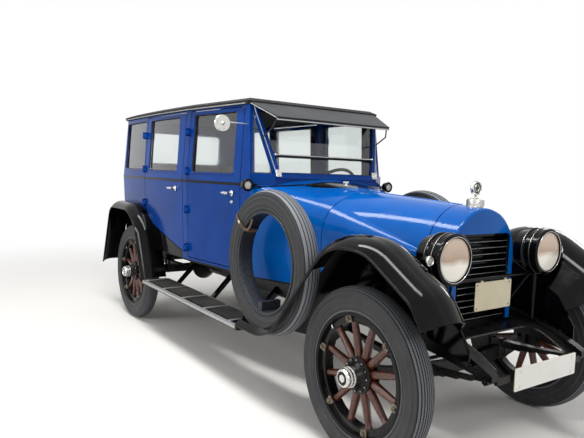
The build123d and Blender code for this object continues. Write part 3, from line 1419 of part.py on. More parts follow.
# Rear-view mirror on an arm from the right windscreen pillar
MIRROR_X = row(-1402)
MIRROR_Y = 788.0
MIRROR_Z = 1745.0
with BuildPart() as mirror:
    with BuildSketch(Plane.YZ.offset(MIRROR_X - 6)):
        with Locations((-MIRROR_Y, MIRROR_Z)):
            Circle(54)
    extrude(amount=14)
    with BuildSketch(Plane.XZ.offset(MIRROR_Y)):
        with Locations((MIRROR_X + 2, MIRROR_Z + 8)):
            Circle(6)
    extrude(amount=-(MIRROR_Y - 560))
    add(body_shell.part, mode=Mode.SUBTRACT)
    add(windshield_frame.part, mode=Mode.SUBTRACT)
mirror.part.label = "mirror"
export_step(mirror.part, "parts/mirror.step")

# Number plates, all blank: below the lamp bar, between the horns and at the back
PLATE_Y = 20.0
PLATE_Z = 494.0
PLATE_HOLES_Y = 440.0
PLATE_HOLES_Z = 76.0
PLATE_HOLE_R = 3.5
PLATE_T = 4.0
PLATE_CORNER_R = 8.0
LOWER_PLATE_SIZE = (520.0, 112.0)
UPPER_PLATE_SIZE = (305.0, 152.0)
UPPER_PLATE_Y = 22.0
UPPER_PLATE_Z = 811.0
STRAP_W = 16.0
with BuildPart() as number_plates:
    with BuildSketch(Plane.YZ.offset(BAR_X - 10)):
        with Locations((UPPER_PLATE_Y, UPPER_PLATE_Z)):
            RectangleRounded(*UPPER_PLATE_SIZE, PLATE_CORNER_R)
    extrude(amount=PLATE_T)
    for strap_y in (UPPER_PLATE_Y - 100, UPPER_PLATE_Y + 100):
        with BuildSketch(Plane.YZ.offset(BAR_X - 12)):
            with Locations((strap_y, (UPPER_PLATE_Z + 60 + BAR_Z) / 2)):
                Rectangle(STRAP_W, BAR_Z - UPPER_PLATE_Z - 60)
        extrude(amount=6)
    with BuildSketch(Plane.YZ.offset(HORN_X + 4)):
        with Locations((PLATE_Y, PLATE_Z)):
            RectangleRounded(*LOWER_PLATE_SIZE, PLATE_CORNER_R)
            with GridLocations(PLATE_HOLES_Y, PLATE_HOLES_Z, 2, 2):
                Circle(PLATE_HOLE_R, mode=Mode.SUBTRACT)
    extrude(amount=PLATE_T)
    add(lamps.part, mode=Mode.SUBTRACT)
    add(frame.part, mode=Mode.SUBTRACT)
number_plates.part.label = "number_plates"
export_step(number_plates.part, "parts/number_plates.step")

# Tail lamp and its bracket on the left rear fender
with BuildPart() as tail_lamp:
    with BuildSketch(Plane.YZ.offset(BODY_REAR_X - 60)):
        with Locations((540, 800)):
            Circle(42)
    extrude(amount=50)
    with BuildSketch(Plane.YZ.offset(BODY_REAR_X - 30)):
        with Locations((540, 800)):
            Circle(12)
    extrude(amount=60)
    add(body_shell.part, mode=Mode.SUBTRACT)
tail_lamp.part.label = "tail_lamp"
export_step(tail_lamp.part, "parts/tail_lamp.step")

# Tyre section: distance outwards from the wheel's plane, and radius
TYRE_SECTION = (
    (44, TYRE_INNER_R),
    (52, TYRE_INNER_R + 22),
    (TYRE_W / 2, TYRE_INNER_R + 66),
    (54, TYRE_R - 34),
    (38, TYRE_R - 8),
    (20, TYRE_R),
    (-20, TYRE_R),
    (-38, TYRE_R - 8),
    (-54, TYRE_R - 34),
    (-TYRE_W / 2, TYRE_INNER_R + 66),
    (-52, TYRE_INNER_R + 22),
    (-44, TYRE_INNER_R),
)
AXLE_LINE = Axis((0, 0, 0), (0, 1, 0))

with BuildPart() as tyre_form:
    with BuildSketch(Plane.YZ):
        Polygon(*TYRE_SECTION, align=None)
    revolve(axis=AXLE_LINE)

# Steel rim with its lips, and the black felloe inside it
with BuildPart() as rim_form:
    with BuildSketch(Plane.YZ):
        Polygon(
            (-46, TYRE_INNER_R - 0.3),
            (46, TYRE_INNER_R - 0.3),
            (50, TYRE_INNER_R + 8),
            (54, TYRE_INNER_R + 6),
            (50, TYRE_INNER_R - 8),
            (FELLOE_W / 2, RIM_R - 6),
            (-FELLOE_W / 2, RIM_R - 6),
            (-50, TYRE_INNER_R - 8),
            (-54, TYRE_INNER_R + 6),
            (-50, TYRE_INNER_R + 8),
            align=None,
        )
    revolve(axis=AXLE_LINE)
    add(tyre_form.part, mode=Mode.SUBTRACT)

# Wooden wheel: hub, flange, tapered spokes, felloe, rim lugs and hub cap
SPOKE_ROOT_R = 54.0
with BuildPart() as wheel_form:
    add(rim_form.part)
    with BuildSketch(Plane.YZ):
        with Locations((0, (FELLOE_R + RIM_R - 5) / 2)):
            Rectangle(FELLOE_W - 8, RIM_R - 5 - FELLOE_R)
    revolve(axis=AXLE_LINE)
    with BuildSketch(Plane.YZ):
        Polygon(
            (-HUB_BACK, 0),
            (-HUB_BACK, 50),
            (-34, 56),
            (-34, HUB_FLANGE_R),
            (-27, HUB_FLANGE_R),
            (-22, 70),
            (22, 70),
            (27, HUB_FLANGE_R),
            (34, HUB_FLANGE_R),
            (36, 60),
            (74, 46),
            (82, HUB_CAP_R + 4),
            (90, HUB_CAP_R),
            (HUB_CAP_END_Y - WHEEL_Y - 8, HUB_CAP_R),
            (HUB_CAP_END_Y - WHEEL_Y, HUB_CAP_R - 8),
            (HUB_CAP_END_Y - WHEEL_Y, 0),
            align=None,
        )
    revolve(axis=AXLE_LINE)
    for spoke in range(SPOKES):
        turn = 360 / SPOKES * (spoke + 0.5)
        out = Plane(
            origin=(0, 0, 0),
            x_dir=(0, 1, 0),
            z_dir=(math.sin(math.radians(turn)), 0, math.cos(math.radians(turn))),
        )
        with BuildSketch(out.offset(SPOKE_ROOT_R)):
            RectangleRounded(44, 30, 6)
        with BuildSketch(out.offset(FELLOE_R + 4)):
            RectangleRounded(32, 24, 6)
        loft(ruled=True)
    for lug in range(LUGS):
        turn = math.radians(360 / LUGS * lug + 15)
        lug_r = RIM_R - 14
        with BuildSketch(Plane.XZ.offset(-(FELLOE_W / 2 - 6))):
            with Locations(Location((lug_r * math.sin(turn), lug_r * math.cos(turn)), -math.degrees(turn))):
                RectangleRounded(34, 30, 4)
        extrude(amount=-16)
    with BuildSketch(Plane.XZ.offset(HUB_BACK + 1)):
        Circle(SPINDLE_R + SPINDLE_PLAY)
    extrude(amount=-(HUB_BACK + 1 + SPINDLE_END + 1), mode=Mode.SUBTRACT)

WHEELS = (
    ("front_left", FRONT_AXLE_X, 1.0),
    ("front_right", FRONT_AXLE_X, -1.0),
    ("rear_left", REAR_AXLE_X, 1.0),
    ("rear_right", REAR_AXLE_X, -1.0),
)
for wheel_name, axle_x, side in WHEELS:
    place = Location((axle_x, side * WHEEL_Y, TYRE_R), (0, 0, 0 if side > 0 else 180))
    with BuildPart() as tyre:
        with Locations(place):
            add(tyre_form.part)
    tyre.part.label = f"tyre_{wheel_name}"
    export_step(tyre.part, f"parts/tyre_{wheel_name}.step")
    with BuildPart() as wheel:
        with Locations(place):
            add(wheel_form.part)
    wheel.part.label = f"wheel_{wheel_name}"
    export_step(wheel.part, f"parts/wheel_{wheel_name}.step")

# Spare tyres on their rims, with the clamp that holds each one in its well
with BuildPart() as spare_tyres:
    for side_name, side in SIDES:
        with Locations((SPARE_X[side_name], side * SPARE_Y, SPARE_Z)):
            add(tyre_form.part)
spare_tyres.part.label = "spare_tyres"
export_step(spare_tyres.part, "parts/spare_tyres.step")

CLAMP_X = 30.0
CLAMP_W = 40.0
CLAMP_T = 16.0
CLAMP_FOOT_Z = LIP_FOOT_Z + 0.88 * FENDER_CROWN
CLAMP_TOP_Z = SPARE_Z - FELLOE_R + 20.0
with BuildPart() as spare_rims:
    for side_name, side in SIDES:
        with Locations((SPARE_X[side_name], side * SPARE_Y, SPARE_Z)):
            add(rim_form.part)
        # Clamp: a post on the fender inboard of the well, and an arm that reaches over the rim
        post_y = SPARE_Y - TYRE_W / 2 - SPARE_WELL_GAP - CLAMP_T
        with BuildSketch(Plane.XY.offset(CLAMP_FOOT_Z)):
            with Locations((SPARE_X[side_name] - CLAMP_X, side * post_y)):
                Rectangle(CLAMP_W, CLAMP_T)
        extrude(amount=CLAMP_TOP_Z - CLAMP_FOOT_Z)
        with BuildSketch(Plane.XZ.offset(-side * (post_y - CLAMP_T / 2))):
            with Locations((SPARE_X[side_name] - CLAMP_X, CLAMP_TOP_Z - 28)):
                Rectangle(CLAMP_W, 56)
        extrude(amount=-side * (SPARE_Y + 54 - post_y))
    add(spare_tyres.part, mode=Mode.SUBTRACT)
    add(front_fenders.part, mode=Mode.SUBTRACT)
spare_rims.part.label = "spare_rims"
export_step(spare_rims.part, "parts/spare_rims.step")

# Steering knuckles: a fork on the king pin, the wheel spindle and a steering arm
ARM_X = FRONT_AXLE_X - 150.0
ARM_Y = KINGPIN_Y
ROD_R = 11.0
for side_name, side in SIDES:
    web_in_y = KINGPIN_Y + EYE_R + 6
    web_out_y = WHEEL_Y - HUB_BACK - FORK_PLAY
    with BuildPart() as knuckle:
        for level in (-1, 1):
            ear_z = TYRE_R + level * (EYE_HALF_H + FORK_PLAY + FORK_T / 2) - FORK_T / 2
            with BuildSketch(Plane.XY.offset(ear_z)):
                with Locations((FRONT_AXLE_X, side * KINGPIN_Y)):
                    Circle(EYE_R)
                with Locations((FRONT_AXLE_X, side * (KINGPIN_Y + web_out_y) / 2)):
                    Rectangle(2 * EYE_R, web_out_y - KINGPIN_Y)
            extrude(amount=FORK_T)
        with BuildSketch(Plane.XY.offset(TYRE_R - EYE_HALF_H - FORK_PLAY - FORK_T)):
            with Locations((FRONT_AXLE_X, side * (web_in_y + web_out_y) / 2)):
                Rectangle(2 * EYE_R, web_out_y - web_in_y)
        extrude(amount=2 * (EYE_HALF_H + FORK_PLAY + FORK_T))
        with BuildSketch(Plane.XY.offset(TYRE_R - EYE_HALF_H - FORK_PLAY - FORK_T)):
            with Locations((FRONT_AXLE_X, side * KINGPIN_Y)):
                Circle(KINGPIN_R)
        extrude(amount=2 * (EYE_HALF_H + FORK_PLAY + FORK_T))
        with BuildSketch(Plane.XZ.offset(-side * web_in_y)):
            with Locations((FRONT_AXLE_X, TYRE_R)):
                Circle(SPINDLE_R)
        extrude(amount=-side * (WHEEL_Y + SPINDLE_END - web_in_y))
        # Steering arm, rearwards from the lower ear to its ball pin
        with BuildSketch(Plane.XY.offset(TYRE_R - EYE_HALF_H - FORK_PLAY - FORK_T)):
            Polygon(
                (FRONT_AXLE_X, side * (KINGPIN_Y - 20)),
                (FRONT_AXLE_X, side * (KINGPIN_Y + 20)),
                (ARM_X, side * (ARM_Y + 14)),
                (ARM_X, side * (ARM_Y - 14)),
                align=None,
            )
            with Locations((ARM_X, side * ARM_Y)):
                Circle(16)
        extrude(amount=16)
    knuckle.part.label = f"knuckle_{side_name}"
    export_step(knuckle.part, f"parts/knuckle_{side_name}.step")

# Tie rod between the two steering arms, hung below them
with BuildPart() as tie_rod:
    with BuildSketch(Plane.XZ.offset(-ARM_Y)):
        with Locations((ARM_X, TYRE_R - EYE_HALF_H - FORK_PLAY - FORK_T - SEAT_GAP - ROD_R)):
            Circle(ROD_R)
    extrude(amount=2 * ARM_Y)
    for side_name, side in SIDES:
        with BuildSketch(Plane.XY.offset(TYRE_R - EYE_HALF_H - FORK_PLAY - FORK_T - SEAT_GAP - 2 * ROD_R)):
            with Locations((ARM_X, side * ARM_Y)):
                Circle(15)
        extrude(amount=2 * ROD_R)
tie_rod.part.label = "tie_rod"
export_step(tie_rod.part, "parts/tie_rod.step")
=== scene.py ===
"""Looks of a vintage touring saloon car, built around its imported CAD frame."""

from __future__ import annotations

import logging
import math
from dataclasses import dataclass
from enum import Enum
from typing import Iterable, Sequence

import bmesh
import bpy
from mathutils import Matrix, Vector


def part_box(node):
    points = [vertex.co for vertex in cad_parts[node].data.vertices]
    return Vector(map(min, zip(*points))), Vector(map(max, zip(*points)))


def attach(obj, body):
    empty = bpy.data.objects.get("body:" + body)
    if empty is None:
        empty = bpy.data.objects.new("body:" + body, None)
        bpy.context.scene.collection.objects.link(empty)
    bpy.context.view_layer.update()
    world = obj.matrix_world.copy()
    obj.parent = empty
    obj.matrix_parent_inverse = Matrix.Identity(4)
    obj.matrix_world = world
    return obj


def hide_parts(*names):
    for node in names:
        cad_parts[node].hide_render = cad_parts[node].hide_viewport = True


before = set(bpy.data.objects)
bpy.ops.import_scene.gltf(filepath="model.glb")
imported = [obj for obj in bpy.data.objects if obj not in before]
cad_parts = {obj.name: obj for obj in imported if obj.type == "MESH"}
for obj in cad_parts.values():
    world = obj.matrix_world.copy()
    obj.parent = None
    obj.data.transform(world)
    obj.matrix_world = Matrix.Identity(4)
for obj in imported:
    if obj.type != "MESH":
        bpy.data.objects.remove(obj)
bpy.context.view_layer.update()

logging.basicConfig(level=logging.INFO, format="%(message)s")
LOG = logging.getLogger("car")

MM = 0.001
FRONT_AXLE_X = 1.701
REAR_AXLE_X = FRONT_AXLE_X - 3.235
WHEEL_Y = 0.711
TYRE_R = 0.441
SIDES = {"left": 1.0, "right": -1.0}
UP = Vector((0, 0, 1))
AHEAD = Vector((1, 0, 0))
# The least turn of an edge that is rounded, in radians, and the points of a turn in a bent rod
SHARP = 0.6
TURN_STEPS = 5

Form = bmesh.types.BMesh
Socket = bpy.types.NodeSocket
Colour = tuple[float, float, float, float]
Point = tuple[float, float, float]
Points = tuple[Point, ...]
Pairs = tuple[tuple[float, float], ...]
Profile = Sequence[tuple[float, float]]
shift = Matrix.Translation


def turned(degrees: float, axis: str) -> Matrix:
    """A turn by some degrees about the local X, Y or Z axis."""
    return Matrix.Rotation(math.radians(degrees), 4, axis)


def around(count: int, start: float = 0.0) -> list[float]:
    """Equal steps of a full turn, in radians.

    Args:
        count: number of steps.
        start: how far on the first one is, in steps.

    Returns:
        The angles in order.
    """
    return [math.tau * (k + start) / count for k in range(count)]


def linear(code: str) -> Colour:
    """Linear colour of an sRGB hex code.

    Args:
        code: six hex digits.

    Returns:
        Red, green and blue, and a full alpha.
    """
    channels = [int(code[i : i + 2], 16) / 255 for i in (0, 2, 4)]
    out = [c / 12.92 if c <= 0.04045 else ((c + 0.055) / 1.055) ** 2.4 for c in channels]
    return out[0], out[1], out[2], 1.0


def add_node(
    tree: bpy.types.NodeTree,
    kind: str,
    settings: dict[str, object] | None = None,
    links: dict[str, Socket] | None = None,
) -> bpy.types.Node:
    """A node with its settings and the links that come into it.

    Args:
        tree: the material's node tree.
        kind: the node's type name, without its first part.
        settings: attribute values, or input values by the input socket's name or number.
        links: input socket's name or number to the output that feeds it.

    Returns:
        The new node.
    """
    made = tree.nodes.new("ShaderNode" + kind)

    def socket(name: str) -> Socket:
        """An input by its name or number."""
        return made.inputs[int(name)] if name.isdigit() else made.inputs[name]

    for name, value in (settings or {}).items():
        if hasattr(made, name):
            setattr(made, name, value)
        else:
            socket(name).default_value = value
    for name, source in (links or {}).items():
        tree.links.new(source, socket(name))
    return made


def calc(tree: bpy.types.NodeTree, operation: str, *terms: Socket | float, clamp: bool = False) -> Socket:
    """The result of a calculation.

    Args:
        tree: the material's node tree.
        operation: the calculation's name.
        terms: sockets and plain numbers.
        clamp: whether the result is kept between 0 and 1.

    Returns:
        The socket that carries the result.
    """
    numbers = {str(k): term for k, term in enumerate(terms) if isinstance(term, float)}
    sockets = {str(k): term for k, term in enumerate(terms) if not isinstance(term, float)}
    return add_node(tree, "Math", {"operation": operation, "use_clamp": clamp, **numbers}, sockets).outputs[0]


class Canvas:
    """A material while it is painted: its node tree, its shader and the object's own coordinates."""

    def __init__(self, name: str) -> None:
        """Starts a material.

        Args:
            name: the material's name.
        """
        self.material = bpy.data.materials.new(name)
        self.material.use_nodes = True
        self.tree = self.material.node_tree
        self.shader = self.tree.nodes["Principled BSDF"]
        self.coordinates = add_node(self.tree, "TexCoord").outputs
        self.place = self.coordinates["Object"]

    def noise(self, scale: float, detail: float, **more: float) -> Socket:
        """A noise's factor over the object's own coordinates."""
        settings = {"Scale": scale, "Detail": detail, **more}
        return add_node(self.tree, "TexNoise", settings, {"Vector": self.place}).outputs["Fac"]

    def axis(self, name: str, place: Socket | None = None) -> Socket:
        """One coordinate of the object's own coordinates, or of another place."""
        return add_node(self.tree, "SeparateXYZ", links={"Vector": place or self.place}).outputs[name]

    def spread(self, value: Socket, low: float, high: float, to_low: float = 0.0, to_high: float = 1.0) -> Socket:
        """A value carried over from one range to another."""
        settings = {"From Min": low, "From Max": high, "To Min": to_low, "To Max": to_high}
        return add_node(self.tree, "MapRange", settings, {"Value": value}).outputs["Result"]

    def ramp(self, factor: Socket, *stops: tuple[float, str | float]) -> Socket:
        """A ramp over a factor.

        Args:
            factor: what drives the ramp.
            stops: positions with hex colours, or with plain numbers where the ramp carries numbers.

        Returns:
            The ramp's colour.
        """
        made = add_node(self.tree, "ValToRGB", links={"Fac": factor})
        band = made.color_ramp
        while len(band.elements) < len(stops):
            band.elements.new(0.5)
        for element, (position, tone) in zip(band.elements, stops):
            element.position = position
            element.color = linear(tone) if isinstance(tone, str) else (tone, tone, tone, 1.0)
        return made.outputs["Color"]

    def mix(self, share: Socket, under: Socket, over: str) -> Socket:
        """A colour that turns into a plain one by a share."""
        settings = {"data_type": "RGBA", "7": linear(over)}
        return add_node(self.tree, "Mix", settings, {"0": share, "6": under}).outputs[2]

    def bump(self, height: Socket, strength: float, depth: float, under: Socket | None = None, **more: bool) -> Socket:
        """Relief from a height, over another relief if one is given."""
        links = {"Height": height, **({"Normal": under} if under else {})}
        return add_node(self.tree, "Bump", {"Strength": strength, "Distance": depth, **more}, links).outputs["Normal"]

    def done(self, links: dict[str, Socket], constants: dict[str, object]) -> bpy.types.Material:
        """Ends the material.

        Args:
            links: the shader's inputs and what feeds them.
            constants: the shader's inputs that are the same all over.

        Returns:
            The finished material.
        """
        for name, source in links.items():
            self.tree.links.new(source, self.shader.inputs[name])
        for name, value in constants.items():
            self.shader.inputs[name].default_value = value
        return self.material


@dataclass(frozen=True)
class Coachpaint:
    """Brushed and polished coach enamel: a deep even gloss with slow waves of tone, and a thin film of road dust."""

    name: str
    colour: str
    shade: str
    dust: str = "8f8a80"
    dust_share: float = 0.04
    roughness: float = 0.12
    shine: float = 0.2
    low_dust_z: float = 0.75

    def build(self) -> bpy.types.Material:
        """Paints it.

        Returns:
            The finished material.
        """
        canvas = Canvas(self.name)
        # Slow change of tone over some 400 mm, as on a panel repainted by hand
        paint = canvas.ramp(canvas.noise(2.4, 3.0), (0.3, self.shade), (0.7, self.colour))
        # Dust lies in soft clouds of about 120 mm and thickens towards the road
        cloud = canvas.noise(8.0, 8.0, Roughness=0.62)
        height = canvas.spread(canvas.axis("Z"), 0.15, self.low_dust_z, 1.0, 0.25)
        film = canvas.ramp(cloud, (0.42, 0.0), (0.78, min(self.dust_share * 5, 1.0)))
        share = calc(canvas.tree, "MULTIPLY", film, height, clamp=True)
        dull = canvas.ramp(cloud, (0.4, self.roughness), (0.85, min(self.roughness + 0.12, 0.9)))
        # Orange peel of brushed enamel, waves about 25 mm long and a few hundredths deep
        peel = canvas.bump(canvas.noise(40.0, 1.0), 0.035, 0.002)
        return canvas.done(
            {"Base Color": canvas.mix(share, paint, self.dust), "Roughness": dull, "Normal": peel},
            {"Specular IOR Level": self.shine, "IOR": 1.5},
        )


@dataclass(frozen=True)
class Metal:
    """Plated, cast or rolled metal, with smears and fine pits that show in its gloss."""

    name: str
    colour: str
    worn: str
    roughness: float = 0.2
    worn_share: float = 0.3
    spot_mm: float = 12.0
    metallic: float = 1.0

    def build(self) -> bpy.types.Material:
        """Paints it.

        Returns:
            The finished material.
        """
        canvas = Canvas(self.name)
        spots = canvas.noise(1 / (self.spot_mm * MM), 5.0, Roughness=0.65)
        edge = 0.75 - self.worn_share / 2
        return canvas.done(
            {
                "Base Color": canvas.ramp(spots, (edge - 0.12, self.colour), (edge + 0.12, self.worn)),
                "Roughness": canvas.ramp(spots, (0.3, self.roughness), (0.8, min(self.roughness + 0.3, 0.95))),
                "Normal": canvas.bump(spots, 0.12, 0.0006),
            },
            {"Metallic": self.metallic},
        )


@dataclass(frozen=True)
class Rubber:
    """Vulcanised tyre rubber, greyed by age, with fine sipes across the ribs of its tread, and painted shade in the
    sipes and on the grooves' floors.

    The tyre's own UV map gives the way round it and the way across it, both in metres.
    """

    name: str
    colour: str = "17181a"
    dust: str = "303134"
    rib: str = "5b5e63"
    # Painted shade: the tone of the sipes and of the grooves' floors
    floor: str = "0b0b0c"
    cut_w: float = 0.0007
    groove_half: float = 0.0023
    block_l: float = 0.014
    row_w: float = 0.01325
    middle: float = 0.053
    tread_half: float = 0.0525

    def build(self) -> bpy.types.Material:
        """Paints it.

        Returns:
            The finished material.
        """
        canvas = Canvas(self.name)
        tree = canvas.tree
        tone = canvas.ramp(canvas.noise(7.0, 8.0, Roughness=0.6), (0.35, self.colour), (0.8, self.dust))
        # Sipes: bricks as long as a tread block in rows as wide as a rib, only on the tread, painted dark as painted
        # shade
        sizes = {
            "Scale": 1.0, "Mortar Size": self.cut_w, "Mortar Smooth": 0.1, "Brick Width": self.block_l,
            "Row Height": self.row_w,
        }
        bricks = add_node(tree, "TexBrick", sizes, {"Vector": canvas.coordinates["UV"]}).outputs["Fac"]
        across = canvas.axis("Y", canvas.coordinates["UV"])
        from_middle = calc(tree, "ABSOLUTE", calc(tree, "SUBTRACT", across, self.middle))
        tread = calc(tree, "LESS_THAN", from_middle, self.tread_half)
        # The long grooves lie where the rows of bricks meet, and their floors are painted dark as painted shade
        groove = calc(tree, "LESS_THAN", calc(tree, "PINGPONG", across, self.row_w / 2), self.groove_half)
        cut_with_painted_shade = calc(tree, "MULTIPLY", calc(tree, "MAXIMUM", bricks, groove), tread)
        # The ribs' tops are scuffed to a paler grey than the walls, and the cuts take the painted shade
        worn = canvas.mix(cut_with_painted_shade, canvas.mix(tread, tone, self.rib), self.floor)
        skin = canvas.bump(canvas.noise(420.0, 2.0), 0.15, 0.0006)
        sipes = canvas.bump(cut_with_painted_shade, 0.8, 0.002, skin, invert=True)
        return canvas.done({"Base Color": worn, "Normal": sipes}, {"Roughness": 0.6})


@dataclass(frozen=True)
class Varnished:
    """Varnished hickory or ash: warm streaks along the grain under a clear coat."""

    name: str
    colour: str
    streak: str
    coat: float = 0.5

    def build(self) -> bpy.types.Material:
        """Paints it.

        Returns:
            The finished material.
        """
        canvas = Canvas(self.name)
        # Grain lines about 4 mm apart
        grain = canvas.noise(60.0, 6.0, Roughness=0.6, Distortion=0.6)
        return canvas.done(
            {"Base Color": canvas.ramp(grain, (0.35, self.streak), (0.68, self.colour))},
            {"Roughness": 0.38, "Coat Weight": self.coat, "Coat Roughness": 0.15},
        )


@dataclass(frozen=True)
class Tarnish:
    """Pressed glass over a silvered reflector, with a painted reflection: bright white below, warm brown in its upper
    half.
    """

    name: str
    # The painted reflection's tones, from the lower half up
    silver: str = "f2ede2"
    brown: str = "b0957f"
    pale: str = "cbb5a2"
    lamp_z: float = 1.035
    lamp_r: float = 0.105
    wander: float = 0.22

    def build(self) -> bpy.types.Material:
        """Paints it.

        Returns:
            The finished material.
        """
        canvas = Canvas(self.name)
        # Painted reflection: white turns to brown above the lamp's middle along a wavy line
        cloud = canvas.noise(9.0, 2.0)
        rise = canvas.spread(canvas.axis("Z"), self.lamp_z - self.lamp_r, self.lamp_z + self.lamp_r)
        edge = calc(canvas.tree, "MULTIPLY_ADD", cloud, self.wander, rise)
        tone = canvas.ramp(edge, (0.46, self.silver), (0.64, self.brown), (1.0, self.pale))
        return canvas.done({"Base Color": tone}, {"Roughness": 0.22, "Coat Weight": 0.6})


@dataclass(frozen=True)
class Cloth:
    """Coated or grained cloth, with a weave drawn as coarse as it needs to show, and weathering."""

    name: str
    colour: str
    weathered: str
    weave_mm: float = 4.0
    roughness: float = 0.75

    def build(self) -> bpy.types.Material:
        """Paints it.

        Returns:
            The finished material.
        """
        canvas = Canvas(self.name)
        tone = canvas.ramp(canvas.noise(5.0, 6.0, Roughness=0.6), (0.35, self.colour), (0.75, self.weathered))
        grid = {"Scale": 1 / (self.weave_mm * MM)}
        weave = add_node(canvas.tree, "TexVoronoi", grid, {"Vector": canvas.place}).outputs["Distance"]
        return canvas.done(
            {"Base Color": tone, "Normal": canvas.bump(weave, 0.35, 0.0008)},
            {"Roughness": self.roughness, "Sheen Weight": 0.03, "Specular IOR Level": 0.22},
        )


@dataclass(frozen=True)
class Glass:
    """Old plate glass, clear with a faint film of dust."""

    name: str
    colour: str = "eef2f1"
    roughness: float = 0.02
    film: float = 0.08
    shine: float = 0.05

    def build(self) -> bpy.types.Material:
        """Paints it.

        Returns:
            The finished material.
        """
        canvas = Canvas(self.name)
        rough = canvas.ramp(canvas.noise(9.0, 5.0), (0.4, self.roughness), (0.8, self.roughness + self.film))
        return canvas.done(
            {"Roughness": rough},
            {
                "Base Color": linear(self.colour), "Transmission Weight": 1.0, "IOR": 1.45,
                "Specular IOR Level": self.shine,
            },
        )


class Finish(Enum):
    """Every finish on the car."""

    BODY = Coachpaint("royal_blue_enamel", "003b88", "003076", dust_share=0.02, shine=0.1)
    # A lighter copy of the body's blue for the hood, cowl and radiator shell: painted light
    NOSE = Coachpaint("royal_blue_enamel_painted_lighter", "0058a8", "004a96", roughness=0.1, dust_share=0.02, shine=0.17)
    BLACK = Coachpaint("black_stove_enamel", "040406", "030304", roughness=0.07, dust_share=0.006, shine=0.16)
    CHASSIS = Coachpaint("black_chassis_paint", "0b0b0d", "070708", roughness=0.25, dust_share=0.03, dust="5c564e")
    IRON = Metal("cast_iron", "3a3836", "241f1c", roughness=0.6, metallic=0.8)
    NICKEL = Metal("nickel_plate", "d6d5d1", "a6a29a", roughness=0.14, worn_share=0.2)
    STEEL = Metal("dull_rim_steel", "242426", "37332e", roughness=0.42)
    LUG = Metal("rusty_lug_steel", "8f8678", "54473b", roughness=0.45, spot_mm=6.0, worn_share=0.45)
    # Worn bolt ends, and also the painted highlight on the headlamp beads' tops
    TIP = Metal("worn_bolt_steel_and_painted_highlight", "b4b2ac", "6f6a62", roughness=0.3, spot_mm=5.0)
    ALUMINIUM = Metal("rolled_aluminium_edging", "b4b4b1", "85827c", roughness=0.35)
    RUBBER = Rubber("grey_tyre_rubber")
    SPARE_RUBBER = Rubber(
        "weathered_spare_rubber", "131416", "212326", "6a6d72", cut_w=0.002, block_l=9.0, row_w=0.02, middle=0.05
    )
    SPOKE = Varnished("varnished_hickory", "5e2812", "2c1007", coat=0.35)
    DARK_WOOD = Varnished("dark_stained_wood", "3a241a", "20130c")
    ROOF = Cloth("black_coated_roof_cloth", "19191b", "2d2d2f", weave_mm=5.0)
    VISOR = Cloth("grey_leathercloth", "25272a", "35383b", weave_mm=6.0, roughness=0.5)
    LEATHER = Cloth("worn_black_leather", "1a1613", "2c2520", weave_mm=7.0, roughness=0.5)
    TRIM = Cloth("dark_lining_cloth", "1b1917", "26231f", weave_mm=4.0)
    MAT = Cloth("ribbed_rubber_mat", "1f1f21", "46443f", weave_mm=8.0, roughness=0.7)
    GLASS = Glass("plate_glass")
    LENS = Glass("lamp_glass", "f2efe6", roughness=0.05, shine=0.12)
    RED = Glass("red_tail_glass", "b01410", roughness=0.1, shine=0.2)
    FELLOE = Coachpaint("black_felloe_paint", "0e0d0f", "070708", roughness=0.2, dust_share=0.03)
    # A painted reflection stands for what the reflector mirrors
    REFLECTOR = Tarnish("silvered_reflector_with_painted_reflection")
    BULB = Glass("bulb_glass", "fbf7ea")
    MILK = Coachpaint("white_dial_enamel", "e6e2d6", "d8d2c2", roughness=0.4, dust_share=0.05)
    # Light strips on the black slats' front edges: painted highlight
    SLAT = Metal("slat_edge_painted_highlight", "8b8d90", "47484a", roughness=0.35)
    STRAP = Cloth("worn_strap_leather", "4d3a2d", "6d5545", weave_mm=5.0, roughness=0.6)
    PAN_EDGE = Metal("worn_rolled_pan_edge", "55534f", "24211f", roughness=0.4)
    RIM = Metal("worn_grey_rim_steel", "45484c", "2b2a29", roughness=0.42)
    DIAL = Coachpaint("grey_green_dial", "4f5850", "3f4740", roughness=0.35)
    PLATE = Coachpaint("cream_plate_enamel", "d6cdb4", "c8bea4", roughness=0.5, dust="7c6c52", dust_share=0.1)
    WHITE_PLATE = Coachpaint("white_plate_enamel", "e4e3df", "dcdbd6", roughness=0.4, dust_share=0.02)

    @property
    def material(self) -> bpy.types.Material:
        """This finish's material, made at its first use."""
        return bpy.data.materials.get(self.value.name) or self.value.build()


NODE_FINISHES = {
    Finish.BODY: "body_shell door_front_left door_front_right door_rear_left door_rear_right windshield_frame",
    Finish.NOSE: "cowl radiator_shell hood_left hood_right hood_side_left hood_side_right",
    Finish.GLASS: "door_glass_front_left door_glass_front_right door_glass_rear_left door_glass_rear_right fixed_glass",
    Finish.LENS: "lamp_lenses",
    Finish.ROOF: "roof",
    Finish.VISOR: "sun_visor",
    Finish.BLACK: "cowl_vent radiator_grille lamps front_fenders rear_fenders dashboard tail_lamp running_boards",
    Finish.NICKEL: "radiator_cap mirror",
    Finish.CHASSIS: "frame springs front_axle rear_axle fuel_tank knuckle_left knuckle_right tie_rod",
    Finish.RIM: "spare_rims",
    Finish.IRON: "engine_block",
    Finish.TRIM: "floor",
    Finish.LEATHER: "front_seat rear_seat",
    Finish.DARK_WOOD: "steering_wheel",
    Finish.PLATE: "number_plates",
    Finish.RUBBER: "spare_tyres tyre_front_left tyre_front_right tyre_rear_left tyre_rear_right",
    Finish.SPOKE: "wheel_front_left wheel_front_right wheel_rear_left wheel_rear_right",
}


def dress_nodes() -> None:
    """Gives every CAD node its finish."""
    for finish, names in NODE_FINISHES.items():
        for name in names.split():
            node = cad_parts[name]
            node.data.materials.clear()
            node.data.materials.append(finish.material)
    LOG.info("dressed %d nodes", sum(len(names.split()) for names in NODE_FINISHES.values()))


